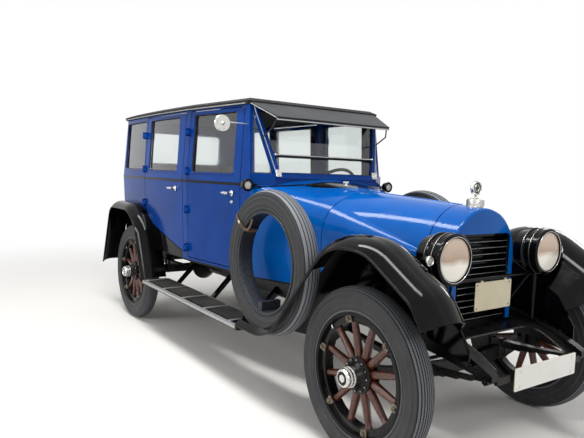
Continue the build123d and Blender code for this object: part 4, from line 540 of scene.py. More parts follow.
def fore(x_mm: float) -> float:
    """Row position, in metres, of a point given in millimetres from the front axle."""
    return FRONT_AXLE_X + x_mm * MM


def at(x_mm: float, y_mm: float, z_mm: float) -> Vector:
    """A point in the row frame from millimetres: x from the front axle, y from the middle, z from the ground."""
    return Vector((fore(x_mm), y_mm * MM, z_mm * MM))


def ring_edges(verts: Iterable[bmesh.types.BMVert]) -> list[bmesh.types.BMEdge]:
    """The edges that join the given vertices with one another."""
    chosen = set(verts)
    return list({e for v in chosen for e in v.link_edges if all(w in chosen for w in e.verts)})


def lathe(profile: Profile, steps: int = 48, closed: bool = False) -> Form:
    """A profile turned all the way about the local X axis.

    Args:
        profile: (along, radius) points in metres.
        steps: facets round the turn.
        closed: whether the last point joins the first.

    Returns:
        The turned form.
    """
    form = bmesh.new()
    verts = [form.verts.new((x, 0.0, r)) for x, r in profile]
    pairs = list(zip(verts, verts[1:])) + ([(verts[-1], verts[0])] if closed else [])
    edges = [form.edges.new(pair) for pair in pairs]
    bmesh.ops.spin(
        form, geom=verts + edges, cent=(0, 0, 0), axis=(1, 0, 0), angle=math.tau, steps=steps, use_merge=True
    )
    bmesh.ops.remove_doubles(form, verts=form.verts, dist=1e-6)
    bmesh.ops.recalc_face_normals(form, faces=form.faces)
    return form


def along_path(path: Sequence[Vector], up: Vector | None = None, closed: bool = False) -> list[Matrix]:
    """Upright stations along a path: local Z runs along it, and local Y keeps close to the up direction.

    Args:
        path: points of the path.
        up: the way that local Y leans; without it the frame turns as little as it can.
        closed: whether the path ends where it starts.

    Returns:
        A placing matrix for each point.
    """
    count = len(path)
    stations = []
    lean = up or UP
    for number, point in enumerate(path):
        before = path[number - 1] if number or closed else point
        after = path[(number + 1) % count] if number < count - 1 or closed else point
        way = ((point - before).normalized() + (after - point).normalized()).normalized()
        if up is None and abs(lean.dot(way)) > 0.999:
            lean = AHEAD if abs(way.x) < 0.9 else Vector((0, 1, 0))
        across = lean.cross(way).normalized()
        rise = way.cross(across)
        if up is None:
            lean = rise
        stations.append(shift(point) @ Matrix((across, rise, way)).transposed().to_4x4())
    return stations


def sweep(section: Profile, stations: Sequence[Matrix], closed: bool = False) -> Form:
    """A closed section carried from station to station.

    Args:
        section: (x, y) points of the section in metres.
        stations: placing matrices, which may also scale the section.
        closed: whether the last station joins the first.

    Returns:
        The swept form, with its ends closed.
    """
    form = bmesh.new()
    verts = [form.verts.new(stations[0] @ Vector((x, y, 0.0))) for x, y in section]
    first = [form.edges.new(pair) for pair in zip(verts, verts[1:] + verts[:1])]
    edges = first
    for before, after in zip(stations, stations[1:]):
        made = bmesh.ops.extrude_edge_only(form, edges=edges)["geom"]
        fresh = [g for g in made if isinstance(g, bmesh.types.BMVert)]
        bmesh.ops.transform(form, matrix=after @ before.inverted(), verts=fresh)
        edges = ring_edges(fresh)
    if closed:
        bmesh.ops.bridge_loops(form, edges=first + edges)
    else:
        bmesh.ops.edgeloop_fill(form, edges=first)
        bmesh.ops.edgeloop_fill(form, edges=edges)
    bmesh.ops.recalc_face_normals(form, faces=form.faces)
    return form


def bar(section: Profile, path: Sequence[Vector], up: Vector | None = None, closed: bool = False) -> Form:
    """A closed section carried along a path."""
    return sweep(section, along_path(path, up, closed), closed)


def oval(x: float, y: float, half_x: float, half_y: float, sides: int) -> list[tuple[float, float]]:
    """Points of an oval about a middle, with its two half axes."""
    return [(x + half_x * math.cos(t), y + half_y * math.sin(t)) for t in around(sides)]


def disc_points(radius: float, sides: int, flat: float = 1.0) -> list[tuple[float, float]]:
    """Points of a circle, or of an oval where flat differs from 1."""
    return oval(0.0, 0.0, radius, radius * flat, sides)


def oblong(half_x: float, half_y: float) -> list[tuple[float, float]]:
    """Corners of a rectangle about the origin."""
    return [(-half_x, -half_y), (half_x, -half_y), (half_x, half_y), (-half_x, half_y)]


def rod(path: Sequence[Vector], radius: float, sides: int = 10, closed: bool = False) -> Form:
    """A round rod along a path."""
    return bar(disc_points(radius, sides), path, closed=closed)


def rounded(points: Sequence[Vector], radius: float) -> list[Vector]:
    """A path whose inner corners are turned into short arcs.

    Args:
        points: the corners, in order.
        radius: how far before and after a corner its turn begins, in metres.

    Returns:
        The path with round corners.
    """
    path = [points[0]]
    for before, corner, after in zip(points, points[1:], points[2:]):
        reach = min(radius, (corner - before).length * 0.45, (after - corner).length * 0.45)
        start = corner + (before - corner).normalized() * reach
        end = corner + (after - corner).normalized() * reach
        for k in range(TURN_STEPS + 1):
            t = k / TURN_STEPS
            path.append(start * (1 - t) ** 2 + corner * 2 * t * (1 - t) + end * t * t)
    path.append(points[-1])
    return path


def slab(outline: Profile, depth: float, bevel: float = 0.0) -> Form:
    """A flat outline in local X and Y, given a depth along local Z and round edges.

    Args:
        outline: (x, y) corners in metres, anticlockwise.
        depth: how deep it is.
        bevel: radius of its edges.

    Returns:
        The closed form, from z = 0 to z = depth.
    """
    form = bmesh.new()
    face = form.faces.new([form.verts.new((x, y, 0.0)) for x, y in outline])
    made = bmesh.ops.extrude_face_region(form, geom=[face])["geom"]
    fresh = [g for g in made if isinstance(g, bmesh.types.BMVert)]
    bmesh.ops.translate(form, vec=(0, 0, depth), verts=fresh)
    bmesh.ops.recalc_face_normals(form, faces=form.faces)
    if bevel:
        soften(form, bevel)
    return form


def soften(form: Form, radius: float, segments: int = 2) -> None:
    """Rounds a form's sharp edges.

    Args:
        form: what is rounded.
        radius: radius of the edges, in metres.
        segments: facets across an edge.
    """
    sharp = [e for e in form.edges if len(e.link_faces) == 2 and e.calc_face_angle(0.0) > SHARP]
    bmesh.ops.bevel(
        form, geom=sharp, offset=radius, segments=segments, profile=0.5, affect="EDGES", material=-1,
        clamp_overlap=True,
    )


def block(size: Point, bevel: float = 0.0, segments: int = 2) -> Form:
    """A block about the origin with rounded edges.

    Args:
        size: its three sizes.
        bevel: radius of its edges.
        segments: facets across an edge.

    Returns:
        The block.
    """
    form = bmesh.new()
    bmesh.ops.create_cube(form, size=1.0)
    bmesh.ops.scale(form, vec=size, verts=form.verts)
    if bevel:
        soften(form, bevel, segments)
    return form


def bolt(radius: float, height: float) -> Form:
    """A bolt head or nut that stands on local Z, with the bolt's end in it.

    Args:
        radius: half the head's width over its corners.
        height: its height.

    Returns:
        The head.
    """
    form = bmesh.new()
    bmesh.ops.create_cone(
        form, cap_ends=True, segments=6, radius1=radius, radius2=radius, depth=height,
        matrix=shift((0, 0, height / 2)),
    )
    bmesh.ops.create_cone(
        form, cap_ends=True, segments=8, radius1=radius * 0.55, radius2=radius * 0.42, depth=height * 0.5,
        matrix=shift((0, 0, height * 1.2)),
    )
    return form


def ball(radius: float, rings: int = 12, flat: float = 1.0) -> Form:
    """A round ball, flattened along local Z.

    Args:
        radius: its radius.
        rings: facets from pole to pole.
        flat: its height as a share of its width.

    Returns:
        The ball.
    """
    form = bmesh.new()
    bmesh.ops.create_uvsphere(form, u_segments=2 * rings, v_segments=rings, radius=radius)
    bmesh.ops.scale(form, vec=(1, 1, flat), verts=form.verts)
    return form


def facing(place: Vector, way: Vector) -> Matrix:
    """A place whose local Z looks along a way."""
    return shift(place) @ way.normalized().to_track_quat("Z", "Y").to_matrix().to_4x4()


def axled(place: Vector, way: Vector) -> Matrix:
    """A place whose local X looks along a way, for turned forms."""
    return shift(place) @ way.normalized().to_track_quat("X", "Z").to_matrix().to_4x4()


def placed(name: str, data: bpy.types.ID) -> bpy.types.Object:
    """A new object of the scene.

    Args:
        name: its name.
        data: its mesh, camera or lamp.

    Returns:
        The linked object.
    """
    made = bpy.data.objects.new(name, data)
    bpy.context.scene.collection.objects.link(made)
    return made


class Piece:
    """One visible piece that is gathered form by form and then handed to the frame."""

    def __init__(self, name: str, body: str = "chassis", crease: float = 38.0) -> None:
        """Starts an empty piece.

        Args:
            name: the piece's name.
            body: the CAD body that it moves with.
            crease: edges that turn by more degrees than this stay sharp.
        """
        self.name = name
        self.body = body
        self.crease = crease
        self.gathered = bmesh.new()
        self.finishes: list[Finish] = []

    def add(self, form: Form, finish: Finish, places: Sequence[Matrix] = ()) -> None:
        """Takes a form in, once at each place.

        Args:
            form: the form, which is used up.
            finish: its finish.
            places: placing matrices; without any it stays where it is.
        """
        if finish not in self.finishes:
            self.finishes.append(finish)
        for face in form.faces:
            face.material_index = self.finishes.index(finish)
            face.smooth = True
        carrier = bpy.data.meshes.new("carrier")
        form.to_mesh(carrier)
        form.free()
        for place in places or (Matrix.Identity(4),):
            first_vert = len(self.gathered.verts)
            first_face = len(self.gathered.faces)
            self.gathered.from_mesh(carrier)
            self.gathered.verts.ensure_lookup_table()
            self.gathered.faces.ensure_lookup_table()
            bmesh.ops.transform(self.gathered, matrix=place, verts=self.gathered.verts[first_vert:])
            if place.determinant() < 0:
                bmesh.ops.reverse_faces(self.gathered, faces=self.gathered.faces[first_face:])
        bpy.data.meshes.remove(carrier)

    def hand_over(self, *stands_for: str) -> bpy.types.Object:
        """Makes the object and gives it to its CAD body.

        Args:
            stands_for: CAD nodes that it replaces.

        Returns:
            The finished object.
        """
        mesh = bpy.data.meshes.new(self.name)
        self.gathered.to_mesh(mesh)
        self.gathered.free()
        for finish in self.finishes:
            mesh.materials.append(finish.material)
        mesh.set_sharp_from_angle(angle=math.radians(self.crease))
        made = placed(self.name, mesh)
        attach(made, self.body)
        if stands_for:
            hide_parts(*stands_for)
        LOG.info("%s: %d faces on %s", self.name, len(mesh.polygons), self.body)
        return made


@dataclass(frozen=True)
class WheelPlace:
    """Where a wheel stands: its name, its centre and the side that its hub cap faces."""

    name: str
    x: float
    side: float

    @property
    def matrix(self) -> Matrix:
        """Puts a form turned about local X on the wheel's axle, local X pointing outboard."""
        centre = shift((self.x, self.side * WHEEL_Y, TYRE_R))
        return centre @ turned(90 * self.side, "Z")


WHEEL_PLACES = (
    WheelPlace("front_left", FRONT_AXLE_X, 1.0),
    WheelPlace("front_right", FRONT_AXLE_X, -1.0),
    WheelPlace("rear_left", REAR_AXLE_X, 1.0),
    WheelPlace("rear_right", REAR_AXLE_X, -1.0),
)


@dataclass
class Tyre:
    """A balloon tyre: ribbed tread with grooves from shoulder to shoulder, and a ringed side wall."""

    radius: float = TYRE_R
    width: float = 0.116
    bead_r: float = 0.306
    groove_depth: float = 0.005
    groove_w: float = 0.0044
    pitch: float = 0.01325
    ribs: int = 8
    # Half width of a groove's floor, as a share of the groove's width
    floor_share: float = 0.36
    shoulder: float = 0.0545
    # The crown is this much lower at this distance from the middle
    crown_drop: float = 0.018
    crown_half: float = 0.053
    steps: int = 96
    finish: Finish = Finish.RUBBER

    def crown(self, along: float) -> float:
        """Radius of the tread's round crown at a distance from the middle."""
        return self.radius - self.crown_drop * (abs(along) / self.crown_half) ** 2.4

    def profile(self) -> list[tuple[float, float]]:
        """The whole skin, from one bead over the tread to the other.

        Returns:
            (along, radius) points in metres.
        """
        half = self.width / 2
        wall = [
            (0.040, self.bead_r), (0.0475, self.bead_r + 0.004), (0.0500, self.bead_r + 0.014),
            (0.0500, self.bead_r + 0.018), (0.0530, self.bead_r + 0.020), (0.0520, self.bead_r + 0.023),
            (half - 0.0012, self.bead_r + 0.044), (half + 0.0004, self.bead_r + 0.046),
            (half - 0.0008, self.bead_r + 0.049), (half, self.bead_r + 0.066),
            (half - 0.0006, self.bead_r + 0.078), (half + 0.0012, self.bead_r + 0.081),
            (half + 0.0008, self.bead_r + 0.084), (half - 0.0016, self.bead_r + 0.087),
            (half - 0.0030, self.bead_r + 0.098), (half - 0.0012, self.bead_r + 0.101),
            (half - 0.0016, self.bead_r + 0.106), (0.0548, self.radius - 0.0215),
        ]
        tread: list[tuple[float, float]] = []
        for number in range(self.ribs + 1):
            y = (self.ribs / 2 - number) * self.pitch
            for edge, drop in ((0.5, 0.0), (self.floor_share, 1.0), (-self.floor_share, 1.0), (-0.5, 0.0)):
                along = y + edge * self.groove_w
                if abs(along) < self.shoulder:
                    tread.append((along, self.crown(along) - drop * self.groove_depth))
        return [*wall, *tread, *((-x, r) for x, r in reversed(wall))]

    def add_to(self, piece: Piece, place: Matrix) -> None:
        """Adds the tyre at a place whose local X is the axle.

        Args:
            piece: what takes it.
            place: where it goes.
        """
        inner = [(-0.040, self.bead_r), (-0.030, self.bead_r + 0.012), (0.030, self.bead_r + 0.012)]
        form = lathe(self.profile() + inner, self.steps, closed=True)
        # Way round and way across, both in metres, for the sipes
        layer = form.loops.layers.uv.new("tread")
        for face in form.faces:
            centre = face.calc_center_median()
            middle = math.atan2(centre.y, centre.z)
            for loop in face.loops:
                turn = math.atan2(loop.vert.co.y, loop.vert.co.z)
                turn += math.tau * round((middle - turn) / math.tau)
                loop[layer].uv = (turn * self.radius, loop.vert.co.x + self.ribs / 2 * self.pitch)
        piece.add(form, self.finish, [place])


@dataclass
class WoodWheel:
    """A wood-spoke wheel: steel rim, black felloe with its lugs, round spokes, bolted flange and ringed nickel cap."""

    place: WheelPlace
    spokes: int = 12
    lugs: int = 6
    felloe: Point = (0.262, 0.298, 0.031)
    flange_r: float = 0.092
    flange_bolts: int = 12
    cap_r: float = 0.0485
    cap_end: float = 0.131

    def wood(self, piece: Piece) -> None:
        """Spokes that swell towards the hub and butt against each other there.

        Args:
            piece: what takes them.
        """
        # Columns: distance from the axle, half width, depth by width
        stations = ((0.060, 0.0200, 1.10), (0.088, 0.0216, 1.10), (0.112, 0.0214, 1.08), (0.165, 0.0202, 1.05),
                    (0.225, 0.0184, 1.02), (0.252, 0.0172, 1.02), (0.257, 0.0200, 1.0), (0.266, 0.0204, 1.0))
        section = disc_points(1.0, 14)
        rings = [shift((0, 0, r)) @ Matrix.Diagonal((half * flat, half, 1.0, 1.0)) for r, half, flat in stations]
        turns = [self.place.matrix @ Matrix.Rotation(t, 4, "X") for t in around(self.spokes, 0.5)]
        piece.add(sweep(section, rings), Finish.SPOKE, turns)
        # The mitred roots, under the flange
        root = slab(oblong(0.019, 0.0155), 0.030, 0.003)
        piece.add(root, Finish.SPOKE, [t @ shift((0, 0, 0.050)) for t in turns])

    def metal(self, piece: Piece) -> None:
        """Rim, felloe, lugs, flange and hub.

        Args:
            piece: what takes them.
        """
        inner, outer, half = self.felloe
        here = [self.place.matrix]
        felloe = [(-half, inner + 0.004), (-half + 0.004, inner), (half - 0.004, inner), (half, inner + 0.004),
                  (half, outer), (-half, outer)]
        piece.add(lathe(felloe, 96, closed=True), Finish.FELLOE, here)
        rim = [(-0.046, 0.304), (-0.050, 0.311), (-0.0535, 0.3135), (-0.0550, 0.311), (-0.0535, 0.306),
               (-0.050, 0.297), (-0.033, 0.2955), (0.033, 0.2955), (0.050, 0.297), (0.0535, 0.306),
               (0.0550, 0.311), (0.0535, 0.3135), (0.050, 0.311), (0.046, 0.304)]
        piece.add(lathe(rim, 96, closed=True), Finish.STEEL, here)
        lug = slab([(-0.0215, -0.023), (0.0215, -0.023), (0.018, 0.012), (0.012, 0.019), (-0.012, 0.019),
                    (-0.018, 0.012)], 0.013, 0.0035)
        on_face = shift((half - 0.002, 0, 0.284)) @ turned(90, "Y") @ turned(90, "Z")
        lug_places = [self.place.matrix @ Matrix.Rotation(t, 4, "X") @ on_face for t in around(self.lugs, 0.25)]
        piece.add(lug, Finish.LUG, lug_places)
        piece.add(bolt(0.0130, 0.012), Finish.LUG, [m @ shift((0, -0.004, 0.009)) for m in lug_places])
        flange = [(0.027, 0.0), (0.027, self.flange_r - 0.002), (0.029, self.flange_r), (0.033, self.flange_r),
                  (0.0345, self.flange_r - 0.003), (0.036, 0.068), (0.042, 0.062), (0.062, 0.053),
                  (0.074, 0.048), (0.078, 0.044), (0.078, 0.0)]
        piece.add(lathe(flange, 60), Finish.CHASSIS, here)
        back = [(-0.038, 0.0), (-0.038, 0.050), (-0.034, 0.056), (-0.034, 0.090), (-0.030, 0.092), (-0.027, 0.090),
                (-0.027, 0.0)]
        piece.add(lathe(back, 60), Finish.CHASSIS, here)
        on_flange = shift((0.0345, 0, 0.0785)) @ turned(90, "Y")
        ring = [self.place.matrix @ Matrix.Rotation(t, 4, "X") @ on_flange for t in around(self.flange_bolts)]
        piece.add(bolt(0.0068, 0.0050), Finish.CHASSIS, ring)
        piece.add(ball(0.0042, 4, 0.7), Finish.TIP, [m @ shift((0, 0, 0.0072)) for m in ring])

    def cap(self, piece: Piece) -> None:
        """Nickel hub cap: a barrel with three rings, a dark dished end and a six-sided boss in it.

        Args:
            piece: what takes it.
        """
        r = self.cap_r
        barrel = [(0.074, 0.0), (0.074, r + 0.0010), (0.077, r + 0.0030), (0.085, r + 0.0030), (0.088, r - 0.0005),
                  (0.092, r - 0.0005), (0.095, r + 0.0015), (0.103, r + 0.0015), (0.106, r - 0.0020),
                  (0.110, r - 0.0020), (0.1125, r - 0.0005), (0.121, r - 0.0010), (0.127, r - 0.0045),
                  (self.cap_end, r - 0.0100), (self.cap_end, r - 0.0140), (0.1275, r - 0.0150), (0.1275, 0.0)]
        piece.add(lathe(barrel, 60), Finish.NICKEL, [self.place.matrix])
        ring = [(0.1272, 0.0), (0.1272, r - 0.0152), (0.1282, r - 0.0152), (0.1282, 0.0)]
        piece.add(lathe(ring, 48), Finish.CHASSIS, [self.place.matrix])
        hexagon = slab(disc_points(0.0205, 6), self.cap_end - 0.1270, 0.0014)
        out = self.place.matrix @ shift((0.1270, 0, 0)) @ turned(90, "Y")
        piece.add(hexagon, Finish.NICKEL, [out])

    def valve(self, piece: Piece) -> None:
        """Valve stem through the felloe.

        Args:
            piece: what takes it.
        """
        stem = lathe([(0.0, 0.0), (0.0, 0.004), (0.022, 0.004), (0.024, 0.003), (0.024, 0.0)], 10)
        spot = self.place.matrix @ turned(45, "X") @ shift((0.036, 0, 0.292)) @ turned(75, "Y")
        piece.add(stem, Finish.NICKEL, [spot])

    def build(self) -> None:
        """The whole wheel and its tyre, in place of the CAD ones."""
        name = self.place.name
        piece = Piece(f"wood_wheel_{name}", f"wheel_{name}")
        self.wood(piece)
        self.metal(piece)
        self.cap(piece)
        self.valve(piece)
        piece.hand_over(f"wheel_{name}")
        rubber = Piece(f"balloon_tyre_{name}", f"wheel_{name}")
        Tyre().add_to(rubber, self.place.matrix)
        rubber.hand_over(f"tyre_{name}")


@dataclass
class Spares:
    """Two spare tyres in the fender wells, with the strap and clamp that hold each."""

    places: Pairs = ((-990.0, 748.0), (-816.0, -748.0))
    height: float = 883.0
    strap_turn: float = 52.0
    strap_out: float = 0.3625
    # Half the strap's loop across the tyre and from axle to tread, and how square the loop is
    loop: Point = (0.0625, 0.0880, 0.67)
    # Slack tail: degrees from the top, distance from the axle, height over the tyre's middle
    slack: Points = (
        (52.0, 0.302, 0.0585), (49.0, 0.274, 0.0640), (43.0, 0.252, 0.0650), (36.0, 0.250, 0.0640),
        (30.0, 0.266, 0.0620), (27.0, 0.284, 0.0600),
    )

    def build(self) -> None:
        """Both tyres in place of the CAD ones, and their straps."""
        rubber = Piece("spare_balloon_tyres")
        straps = Piece("spare_straps")
        for x, y in self.places:
            side = math.copysign(1.0, y)
            place = shift(at(x, y, self.height)) @ turned(90 * side, "Z")
            Tyre(pitch=0.0200, ribs=5, groove_w=0.0046, finish=Finish.SPARE_RUBBER).add_to(rubber, place)
            self.strap(straps, place)
        rubber.hand_over("spare_tyres")
        straps.hand_over()

    def strap(self, piece: Piece, place: Matrix) -> None:
        """A leather strap round tyre and rim, upper rear, with its slack tail hanging in the opening.

        Args:
            piece: what takes it.
            place: the tyre's place.
        """
        high = place @ turned(self.strap_turn, "X")
        wide, tall, square = self.loop

        def squarish(share: float) -> float:
            """A sine or cosine pushed out, as the tyre's section is squarer than an oval."""
            return math.copysign(abs(share) ** square, share)

        loop = [
            high @ Vector((wide * squarish(math.cos(a)), 0.0, self.strap_out + tall * squarish(math.sin(a))))
            for a in around(36, 0.5)
        ]
        tail = [place @ turned(angle, "X") @ Vector((out, 0.0, r)) for angle, r, out in self.slack]
        piece.add(bar(oblong(0.008, 0.0014), tail, place.to_3x3() @ AHEAD), Finish.STRAP)
        aside = high.to_3x3() @ Vector((0, 1, 0))
        piece.add(bar(oblong(0.0016, 0.011), loop, aside, closed=True), Finish.STRAP)
        clamp = high @ shift((0.0635, 0, 0.362)) @ turned(90, "Y")
        piece.add(block((0.026, 0.018, 0.004), 0.001), Finish.NICKEL, [clamp])


@dataclass
class Headlamp:
    """What the drums lack: dished reflector with a painted reflection, bulb, black rim with a thin bright lip, and ring
    beads with a painted highlight along their tops.
    """

    side: float
    x: float = 279.0
    y: float = 396.0
    z: float = 1035.0
    dish_depth: float = 0.050
    # Where the drum's two beads lie: along it from the lamp's face, and their radius
    beads: Pairs = ((-0.088, 0.1235), (-0.041, 0.1262))

    def build(self) -> None:
        """One headlamp's pieces."""
        name = "left" if self.side > 0 else "right"
        place = shift(at(self.x, self.side * self.y, self.z))
        piece = Piece(f"headlamp_{name}")
        dish = [(-0.011 - self.dish_depth * (1 - (k / 12) ** 2), 0.1045 * k / 12) for k in range(12, -1, -1)]
        back = [(x - 0.0015, r) for x, r in reversed(dish)]
        # The dish shows the painted reflection
        piece.add(lathe(dish + back, 64), Finish.REFLECTOR, [place])
        rim = [(-0.012, 0.1275), (-0.006, 0.1295), (0.000, 0.1285), (0.005, 0.1225), (0.0065, 0.1165), (0.005, 0.111),
               (0.0005, 0.1075), (-0.004, 0.1075), (-0.004, 0.120)]
        piece.add(lathe(rim, 72, closed=True), Finish.BLACK, [place])
        lip = oval(0.0060, 0.1130, 0.0012, 0.0015, 8)
        piece.add(lathe(lip, 72, closed=True), Finish.NICKEL, [place])
        for x, r in self.beads:
            piece.add(lathe(oval(x, r, 0.0042, 0.0042, 10), 72, closed=True), Finish.BLACK, [place])
            # A bright ring along the bead's top: painted highlight
            edge = [(x + 0.0002 + across, r + 0.0040 + up) for across, up in oblong(0.0012, 0.0006)]
            piece.add(lathe(edge, 72, closed=True), Finish.TIP, [place])
        bulb = lathe([(-0.058, 0.0), (-0.058, 0.010), (-0.047, 0.011), (-0.044, 0.009)], 20)
        piece.add(bulb, Finish.NICKEL, [place])
        piece.add(ball(0.013, 10), Finish.BULB, [place @ shift((-0.036, 0, 0))])
        piece.hand_over()


@dataclass
class LampGlass:
    """Front glasses of all lamps: gently domed, the big ones with upright flutes inside."""

    # Columns: x, y, z, radius, dome height, number of flutes; millimetres
    lenses: tuple[tuple[float, float, float, float, float, int], ...] = (
        (279.0, 396.0, 1035.0, 107.0, 7.0, 26),
        (259.0, 550.0, 1036.0, 20.0, 4.0, 0),
        (-1272.0, 652.0, 1335.0, 28.0, 6.0, 0),
    )
    front_x: float = -0.002
    back_x: float = -0.0055
    flute_x: float = -0.0068
    # The inner face is flatter than the outer one, and both end just inside the seat
    inner_share: float = 0.7
    seat: float = 0.995
    # How far across the glass the flutes reach, and how far up it, as shares of its radius and its square
    flute_span: float = 0.95
    flute_rise: float = 0.88
    flute_r: float = 0.0017

    def build(self) -> None:
        """All the glasses, in place of the CAD discs."""
        piece = Piece("lamp_glasses")
        for x, y, z, r_mm, dome_mm, flutes in self.lenses:
            radius, dome = r_mm * MM, dome_mm * MM
            sag = dome * self.inner_share
            falls = [(k / 8, 1 - (k / 8) ** 2) for k in range(9)]
            front = [(self.front_x + dome * fall, radius * share * self.seat) for share, fall in reversed(falls)]
            back = [(self.back_x + sag * fall, radius * share * self.seat) for share, fall in falls]
            for side in SIDES.values():
                place = shift(at(x, side * y, z))
                # The big glasses show the reflector's painted reflection instead of clear glass
                piece.add(lathe(front + back, 64), Finish.REFLECTOR if flutes else Finish.LENS, [place])
                for k in range(flutes):
                    across = radius * (2 * (k + 0.5) / flutes - 1) * self.flute_span
                    tall = math.sqrt(max(radius * radius * self.flute_rise - across * across, 1e-6))
                    deep = self.flute_x + sag * (1 - (across / radius) ** 2)
                    path = [
                        place @ Vector((deep - sag * (t * tall / radius) ** 2, across, t * tall))
                        for t in (-1.0, -0.5, 0.0, 0.5, 1.0)
                    ]
                    piece.add(rod(path, self.flute_r, 5), Finish.REFLECTOR)
        piece.hand_over("lamp_lenses")


@dataclass
class SmallLamps:
    """Bright rims and reflectors of the side lights and cowl lamps, and the cowl lamps' shells."""

    # Columns: x, y, z, rim radius in millimetres, rim finish, whether it has a stepped shell
    rims: tuple[tuple[float, float, float, float, Finish, bool], ...] = (
        (259.0, 550.0, 1036.0, 24.0, Finish.NICKEL, False),
        (-1272.0, 652.0, 1335.0, 40.0, Finish.BLACK, True),
    )
    tail_place: Point = (-3860.0, 540.0, 800.0)

    def build(self) -> None:
        """All five lamps' rims and bowls."""
        piece = Piece("small_lamp_rims")
        for x, y, z, r_mm, rim_finish, stepped in self.rims:
            for side in SIDES.values():
                place = shift(at(x, side * y, z))
                radius = r_mm * MM
                rim = [(-0.007, radius + 0.0015), (-0.002, radius + 0.0025), (0.002, radius), (0.0035, radius - 0.004),
                       (0.001, radius - 0.007), (-0.002, radius - 0.0065)]
                piece.add(lathe(rim, 40, closed=True), rim_finish, [place])
                if stepped:
                    ring = [(-0.006, 0.0275), (0.004, 0.0275), (0.0062, 0.0300), (0.0050, 0.0350), (-0.002, 0.0385),
                            (-0.006, 0.0385)]
                    piece.add(lathe(ring, 40, closed=True), Finish.BLACK, [place])
                bowl = lathe([(-0.0064, 0.0), (-0.0064, radius * 0.78), (-0.0060, radius * 0.78)], 32)
                piece.add(bowl, Finish.MILK, [place])
        self.tail(piece)
        piece.hand_over()

    def tail(self, piece: Piece) -> None:
        """The tail lamp's nickel rim and its ribbed red glass over a white bowl.

        Args:
            piece: the piece that takes them.
        """
        place = shift(at(*self.tail_place)) @ turned(180, "Z")
        rim = [(-0.006, 0.0423), (0.003, 0.0435), (0.0065, 0.0415), (0.0065, 0.0375), (0.002, 0.0355),
               (-0.002, 0.0355)]
        piece.add(lathe(rim, 48, closed=True), Finish.NICKEL, [place])
        piece.add(lathe([(0.0004, 0.0), (0.0004, 0.035), (0.0010, 0.035)], 32), Finish.MILK, [place])
        dome = [(0.0105 - 0.006 * (k / 16) ** 2 + 0.0006 * (k % 2), 0.0355 * k / 16) for k in range(17)]
        piece.add(lathe([(0.0016, 0.0355)] + dome[::-1], 48), Finish.RED, [place])


@dataclass
class RadiatorTrim:
    """Slat edges painted light as painted highlights, the black inner frame, the knurled cap and the gauge in its
    bezel.
    """

    half_w: float = 219.0
    top_z: float = 1135.0
    bottom_z: float = 651.3
    slats: int = 14
    tip_x: float = 140.0
    corner_r: float = 34.0
    side_gap: float = 14.0
    slat_lift: float = 8.0
    cap_x: float = 71.0
    cap_z: float = 1268.0
    gauge_z: float = 1378.0
    knurls: int = 44

    def frame_line(self, inset: float, x: float) -> list[Vector]:
        """The opening's outline from its left foot over the top to its right foot.

        Args:
            inset: how far inside the opening it runs.
            x: how far forward it lies.

        Returns:
            Its points.
        """
        w = self.half_w - inset
        top = self.top_z - inset
        r = self.corner_r - inset
        path = [at(x, w, self.bottom_z + 2)]
        for side, start in ((1.0, 0.0), (-1.0, 90.0)):
            for k in range(7):
                turn = math.radians(start + 15.0 * k)
                y = side * (w - r) + r * math.cos(turn)
                path.append(at(x, y, top - r + r * math.sin(turn)))
        path.append(at(x, -w, self.bottom_z + 2))
        return path

    def build(self) -> None:
        """The grille's edges and frame, then the cap."""
        piece = Piece("grille_trim")
        pitch = (self.top_z - self.bottom_z) / self.slats
        for number in range(self.slats):
            z = self.bottom_z + pitch * (number + 0.5) + self.slat_lift
            half = self.half_w - self.side_gap
            if z > self.top_z - self.corner_r:
                half -= self.corner_r * 0.4
            # A light strip on each slat's front edge: painted highlight
            tip = block((0.0030, 2 * half * MM, 0.0042), 0.0008, 1)
            piece.add(tip, Finish.SLAT, [shift(at(self.tip_x + 1.2, 0, z))])
        # Liner: a deep black sheet against the shell with a turned-in front edge
        section = [(-0.0062, -0.046), (-0.0045, -0.046), (-0.0045, -0.002), (0.0080, -0.0015), (0.0085, 0.0015),
                   (0.0070, 0.0040), (-0.0062, 0.0055)]
        piece.add(bar(section, self.frame_line(6.5, self.tip_x + 2.0), AHEAD), Finish.BLACK)
        piece.hand_over()
        self.cap()

    def cap(self) -> None:
        """The filler cap and its gauge."""
        piece = Piece("filler_cap")
        foot = shift(at(self.cap_x, 0, self.cap_z)) @ turned(-90, "Y")
        body = [(0.004, 0.0), (0.004, 0.048), (0.009, 0.0485), (0.011, 0.0455), (0.046, 0.0455), (0.051, 0.043),
                (0.055, 0.030), (0.058, 0.016), (0.066, 0.010), (0.0715, 0.0)]
        piece.add(lathe(body, 60), Finish.NICKEL, [foot])
        on_skirt = shift((0.0285, 0, 0.0462))
        knurls = [foot @ Matrix.Rotation(t, 4, "X") @ on_skirt for t in around(self.knurls)]
        piece.add(block((0.033, 0.0032, 0.0030)), Finish.NICKEL, knurls)
        stand = shift(at(self.cap_x, 0, self.gauge_z))
        ring = [(-0.010, 0.0), (-0.010, 0.036), (-0.008, 0.0395), (0.0, 0.0412), (0.008, 0.0400), (0.0115, 0.0365),
                (0.0105, 0.0315), (0.0075, 0.0300), (0.0065, 0.0300), (0.0065, 0.0)]
        piece.add(lathe(ring, 56), Finish.NICKEL, [stand])
        piece.add(lathe([(0.0064, 0.0), (0.0064, 0.0302), (0.0072, 0.0302), (0.0072, 0.0)], 40), Finish.DIAL, [stand])
        inner = [(0.0072, 0.0165), (0.0088, 0.0175), (0.0088, 0.0190), (0.0072, 0.0200)]
        piece.add(lathe(inner, 40, closed=True), Finish.NICKEL, [stand])
        piece.hand_over("radiator_cap")


